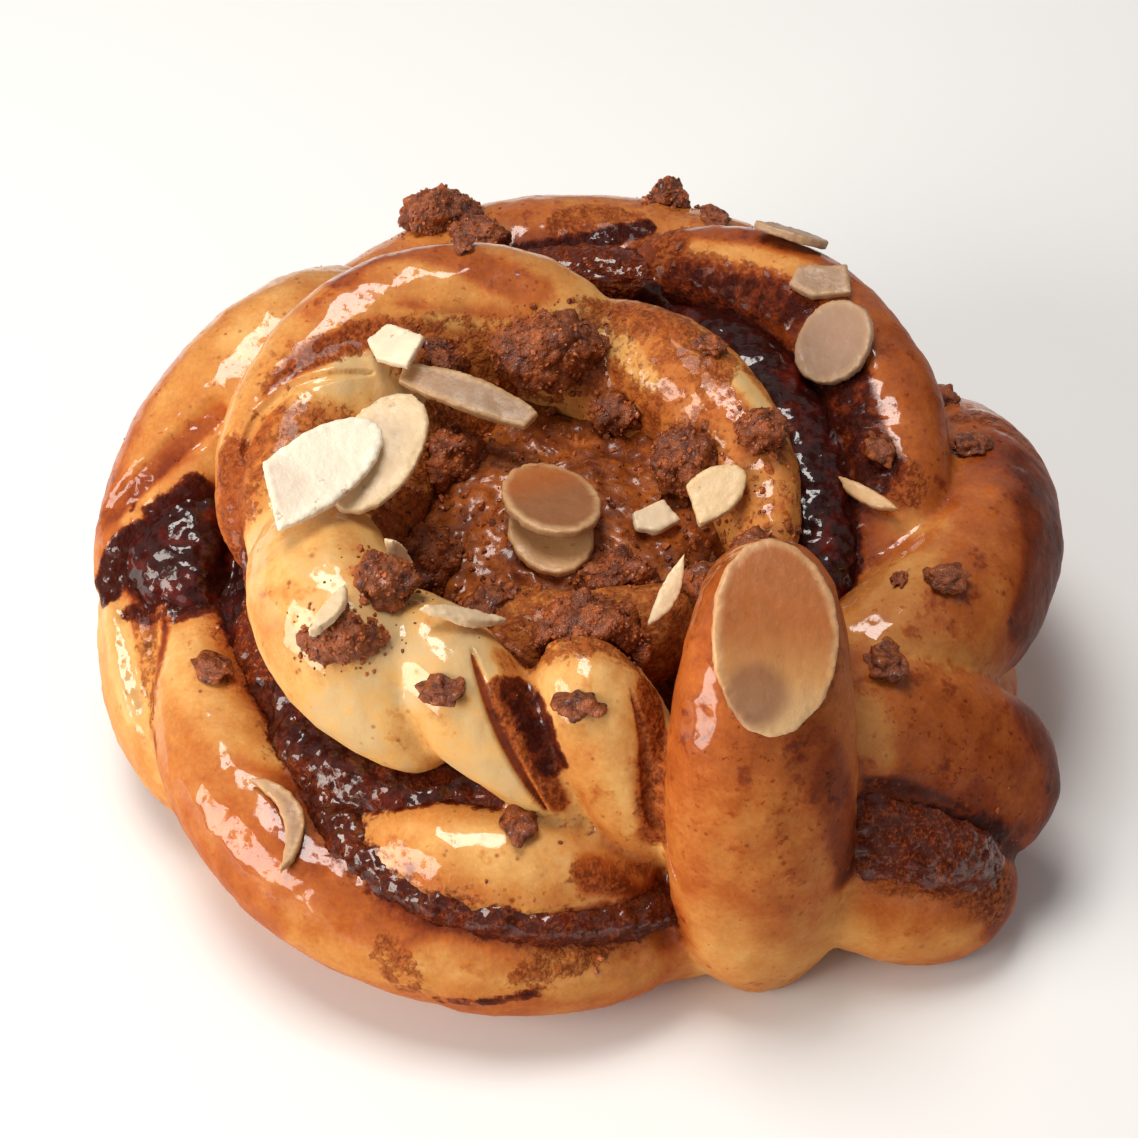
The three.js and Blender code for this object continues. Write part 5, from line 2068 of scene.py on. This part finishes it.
@dataclass
class AlmondSlices:
    """The sliced almonds, each with ragged rounded edges and its own tone."""

    voxel: float = 0.26
    smoothing: int = 3
    relief: Reliefs = ((4.0, 0.3), (0.9, 0.16))
    rim_reach: float = 2.4
    rim_swell: Pair = (0.16, 0.5)
    flat_share: float = 0.8
    rim_step: float = 0.3
    sharp: float = 60.0
    spot_reach: Pair = (2.2, 4.4)
    spot_place: Pair = (-0.6, 0.2)
    fade_from: Pair = (-0.2, 0.9)
    looks: dict[str, Slice] = field(
        default_factory=lambda: {
            "strap": Slice(0.58, 2.0, 0.75, 0.3),
            "left_long": Slice(0.0, spot=0.22),
            "left_back": Slice(0.18),
            "left_chip": Slice(0.1),
            "left_sliver": Slice(0.15),
            "left_front": Slice(0.15),
            "stick": Slice(0.84),
            "square": Slice(0.08),
            "centre": Slice(0.74, fade=0.2),
            "centre_under": Slice(0.35),
            "notched": Slice(0.2),
            "grey_chip": Slice(0.12),
            "strap_chip": Slice(0.16),
            "front_sliver": Slice(0.15),
            "outer_curl": Slice(0.8),
            "right": Slice(1.0),
            "right_chip": Slice(0.97),
            "back": Slice(0.97),
            "right_sliver": Slice(0.3),
        }
    )

    def build(self, relief: Relief, material: Material) -> Object:
        """Builds and dresses the slices.

        Args:
            relief: The relief tree.
            material: The almond's material.

        Returns:
            The finished piece.
        """
        joined = bmesh.new()
        for name, look in self.looks.items():
            piece = self._slice(name, look, relief)
            joined.from_mesh(piece.data)
            bpy.data.objects.remove(piece)
        whole = object_of("almond_slices", joined)
        return finish_piece(whole, Slot.ALMOND, [f"almond_{name}" for name in self.looks], material)

    def _slice(self, name: str, look: Slice, relief: Relief) -> Object:
        """One slice with its marks.

        Args:
            name: The slice's name.
            look: How it looks.
            relief: The relief tree.

        Returns:
            The slice's object.
        """
        plate = copy_node(f"slice_{name}", [f"almond_{name}"])
        rim = self._rim(plate)
        remesh(plate, self.voxel, self.smoothing)
        settle(plate)
        edge = np.array([rim.find(point)[2] for point in points_of(plate)]) / self.rim_reach
        keep_attribute(plate, "swell", 1 - self.flat_share * smoothstep(*self.rim_swell, edge))
        relief.apply(plate, *self.relief)
        settle(plate)
        points = points_of(plate)
        middle = points.mean(axis=0)
        axes = np.linalg.svd(points - middle, full_matrices=False)[2]
        long, normal = axes[0] * np.sign(axes[0][2]), axes[2] * np.sign(axes[2][2])
        reach = (points - middle) @ long
        half = np.abs(reach).max()
        points = points - normal * (look.bend * (reach / half) ** 2)[:, None]
        move_points(plate, points)
        ahead, aside = self.spot_place
        spot_place = middle + long * half * ahead + np.cross(normal, long) * half * aside
        spot = 1 - smoothstep(*self.spot_reach, np.linalg.norm(points - spot_place, axis=1))
        keep_attribute(plate, "tone", look.tone - look.fade * smoothstep(*self.fade_from, -reach / half))
        keep_attribute(plate, "rim", np.clip(edge, 0, 1))
        keep_attribute(plate, "spot", look.spot * spot)
        return plate

    def _rim(self, plate: Object) -> KDTree:
        """A search tree over points along a plate's sharp edges, in millimetres.

        Args:
            plate: The plate.

        Returns:
            The tree.
        """
        shape = bmesh.new()
        shape.from_mesh(plate.data)
        found: list[Array] = []
        for edge in shape.edges:
            if len(edge.link_faces) == 2 and edge.calc_face_angle() > math.radians(self.sharp):
                first, last = (np.array(vert.co) / MM for vert in edge.verts)
                count = max(2, int(np.linalg.norm(last - first) / self.rim_step))
                found.append(first + (last - first) * np.linspace(0, 1, count)[:, None])
        shape.free()
        return point_tree(np.concatenate(found))


@dataclass
class StuckCrumbs:
    """The crumbs stuck to the dough, where the solid has them."""

    large: tuple[Pair, ...] = (
        (40, -18), (32.5, -29), (-40.5, -20), (-38.5, -23), (-14, -37.5), (0, -39.5), (-6, -43.5), (34, 0),
    )
    radius: Pair = (0.9, 1.9)
    scattered: int = 10
    seed: int = 7
    reach: float = 52.0
    room: float = 3.4
    sky: float = 100.0
    facets: int = 4
    corners: int = 12
    watched: int = 8
    craggy: float = 0.45
    crag_scale: float = 1.7
    crag_shift: float = 900.0
    shape: Triple = (1.3, 1.0, 0.6)
    lift: float = 0.3
    crags: tuple[Pair, ...] = ((2.6, 0.8), (1.2, 0.5), (0.55, 0.3))

    def build(self, dough: Object, crag: Crag, material: Material) -> Object:
        """Builds and dresses the crumbs.

        Args:
            dough: The finished dough.
            crag: The tree that breaks them up.
            material: The crumble's material.

        Returns:
            The finished piece.
        """
        tree = tree_of(dough)
        joined = bmesh.new()
        for x, y, radius, heading in self._spots():
            hit = self._drop(tree, x, y)[0]
            if hit is None:
                continue
            before = len(joined.verts)
            bmesh.ops.create_icosphere(joined, subdivisions=self.facets, radius=1.0)
            joined.verts.ensure_lookup_table()
            for vert in joined.verts[before:]:
                self._shape(vert, hit, radius, heading)
        made = object_of("stuck_crumbs", joined)
        crag.apply(made, *self.crags)
        settle(made)
        return finish_piece(made, Slot.CRUMBLE, ["dough"], material)

    def _drop(self, tree: BVHTree, x: float, y: float) -> tuple[Vector | None, Any, Any, float | None]:
        """What a ray down from the sky meets of a surface at a spot, as the search tree tells it."""
        return tree.ray_cast(Vector((x * MM, y * MM, self.sky * MM)), Vector((0, 0, -1)))

    def _shape(self, vert: bmesh.types.BMVert, spot: Vector, radius: float, heading: float) -> None:
        """Moves a ball's point to its place on a craggy crumb.

        Args:
            vert: The point.
            spot: Where the crumb sits, in metres.
            radius: The crumb's radius.
            heading: The way its length points.
        """
        craggy = radius * (1 + self.craggy * noise.noise(vert.co * self.crag_scale + spot * self.crag_shift))
        x, y, z = (place * share * craggy for place, share in zip(vert.co, self.shape))
        cosine, sine = math.cos(heading), math.sin(heading)
        turned = Vector((x * cosine - y * sine, x * sine + y * cosine, z + self.lift * radius))
        vert.co = spot + turned * MM

    def _spots(self) -> Iterator[tuple[float, float, float, float]]:
        """Each crumb's place, radius and heading, by the same rule and draws as the solid's.

        Yields:
            The place across and along, the radius and the heading.
        """
        trees = {name: tree_of(node) for name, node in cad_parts.items()}
        random = SeededRandom(self.seed)
        spots = [spot for spot in self.large if self._open(trees, *spot)]
        count = len(spots)
        while len(spots) < count + self.scattered:
            spot = tuple((2 * random() - 1) * self.reach for _ in range(2))
            if self._open(trees, *spot):
                spots.append(spot)
        for i, (x, y) in enumerate(spots):
            radius = self.radius[1]
            if i >= count:
                radius = self.radius[0] + (self.radius[1] - self.radius[0]) * random()
            for _ in range(self.corners):
                random()
            yield x, y, radius, FULL_TURN * random()

    def _open(self, trees: dict[str, BVHTree], x: float, y: float) -> bool:
        """Whether the dough alone lies round a spot.

        Args:
            trees: Search trees of the CAD nodes.
            x: The spot's place across.
            y: The spot's place along.

        Returns:
            True where the dough is on top all round.
        """
        ways = [i * FULL_TURN / self.watched for i in range(self.watched)]
        rim = [(x + self.room * math.cos(way), y + self.room * math.sin(way)) for way in ways]
        for spot in [(x, y), *rim]:
            drops = {name: self._drop(tree, *spot)[3] for name, tree in trees.items()}
            met = {name: drop for name, drop in drops.items() if drop is not None}
            if min(met, key=met.get, default=None) != "dough":
                return False
        return True


def finish_piece(made: Object, slot: Slot, nodes: Iterable[str], material: Material | None = None) -> Object:
    """Ties a finished piece to its body and hides the CAD nodes that it stands for.

    Args:
        made: The piece.
        slot: Its material slot; not used.
        nodes: The CAD nodes.
        material: Its material, where it has none yet.

    Returns:
        The piece.
    """
    if material:
        made.data.materials.append(material)
    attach(made, BODY)
    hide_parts(*nodes)
    LOG.info("%s: %d triangles", made.name, sum(len(p.vertices) - 2 for p in made.data.polygons))
    return made


# The stage


@dataclass(frozen=True)
class Lamp:
    """A soft rectangular light: where it is, how broad and high it is, how strong and of what colour."""

    place: Triple
    size: Pair
    power: float
    colour: Triple


@dataclass
class Stage:
    """A pale floor, window light from the left and the camera at the photograph's angle."""

    target: Triple = (-1.0, 0.0, 20.0)
    distance: float = 316.0
    elevation: float = 45.0
    lens: float = 85.0
    sensor: float = 36.0
    clip: float = 10.0
    floor: Finish = Finish(roughness=0.9)
    floor_colour: Colour = (0.94, 0.94, 0.94, 1.0)
    floor_half: float = 1500.0
    world_colour: Colour = (1.0, 1.0, 1.0, 1.0)
    world_strength: float = 0.22
    lamps: dict[str, Lamp] = field(
        default_factory=lambda: {
            "window": Lamp((-520.0, -300.0, 250.0), (400.0, 380.0), 3.6, (1.0, 0.94, 0.85)),
            "ceiling": Lamp((-120.0, 60.0, 620.0), (300.0, 260.0), 2.6, (1.0, 0.97, 0.92)),
        }
    )

    def build(self) -> None:
        """Builds the floor, the lights and the camera."""
        self._floor()
        for name, lamp in self.lamps.items():
            self._light(name, lamp)
        self._world()
        self._camera()
        bpy.context.scene.view_settings.view_transform = "Standard"

    def _floor(self) -> None:
        """Builds the floor."""
        corners = np.array([[-1.0, -1.0, 0.0], [1.0, -1.0, 0.0], [1.0, 1.0, 0.0], [-1.0, 1.0, 0.0]])
        floor = make_object("floor", corners * self.floor_half, [(0, 1, 2, 3)])
        material, nodes, _ = self.floor.start("pale_floor")
        nodes.shade({"Base Color": self.floor_colour})
        floor.data.materials.append(material)

    def _light(self, name: str, lamp: Lamp) -> None:
        """Adds a light that points at the bun.

        Args:
            name: The light's name.
            lamp: The light.
        """
        light = bpy.data.lights.new(name, "AREA")
        light.shape = "RECTANGLE"
        light.size = lamp.size[0] * MM
        light.size_y = lamp.size[1] * MM
        light.energy = lamp.power
        light.color = lamp.colour
        made = link_object(name, light)
        made.location = Vector(lamp.place) * MM
        aim = Vector((0, 0, self.target[2])) * MM - made.location
        made.rotation_euler = aim.to_track_quat("-Z", "Y").to_euler()

    def _world(self) -> None:
        """Fills the room with even light."""
        world = bpy.data.worlds.new("room")
        world.use_nodes = True
        background = world.node_tree.nodes["Background"]
        background.inputs["Color"].default_value = self.world_colour
        background.inputs["Strength"].default_value = self.world_strength
        bpy.context.scene.world = world

    def _camera(self) -> None:
        """Sets the camera."""
        rise = math.radians(self.elevation)
        camera = bpy.data.cameras.new("camera")
        camera.lens = self.lens
        camera.sensor_width = self.sensor
        camera.clip_start = self.clip * MM
        made = link_object("camera", camera)
        back = Vector((0, -math.cos(rise), math.sin(rise)))
        made.location = (Vector(self.target) + back * self.distance) * MM
        made.rotation_euler = (-back).to_track_quat("-Z", "Y").to_euler()
        bpy.context.scene.camera = made


def main() -> None:
    """Builds every piece in order."""
    logging.basicConfig(level=logging.INFO, format="%(name)s %(message)s")
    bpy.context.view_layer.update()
    groups = ShaderGroups()
    relief = Relief()
    crag = Crag()
    crumble_material = CrumbleFinish().make(groups)
    scatter = Scatter(crumble_material)
    filling = Filling().build(relief, FillingFinish().make(groups))
    spread = Spread().build(relief, SpreadFinish().make(groups))
    dough = Dough().build(relief, (filling, spread), DoughFinish().make(groups))
    clumps = Crumble().build(crag, scatter, crumble_material)
    AlmondSlices().build(relief, AlmondFinish().make(groups))
    StuckCrumbs().build(dough, crag, crumble_material)
    LooseCrumbs().build(scatter, dough, spread, clumps)
    Stage().build()


if __name__ == "__main__":
    main()
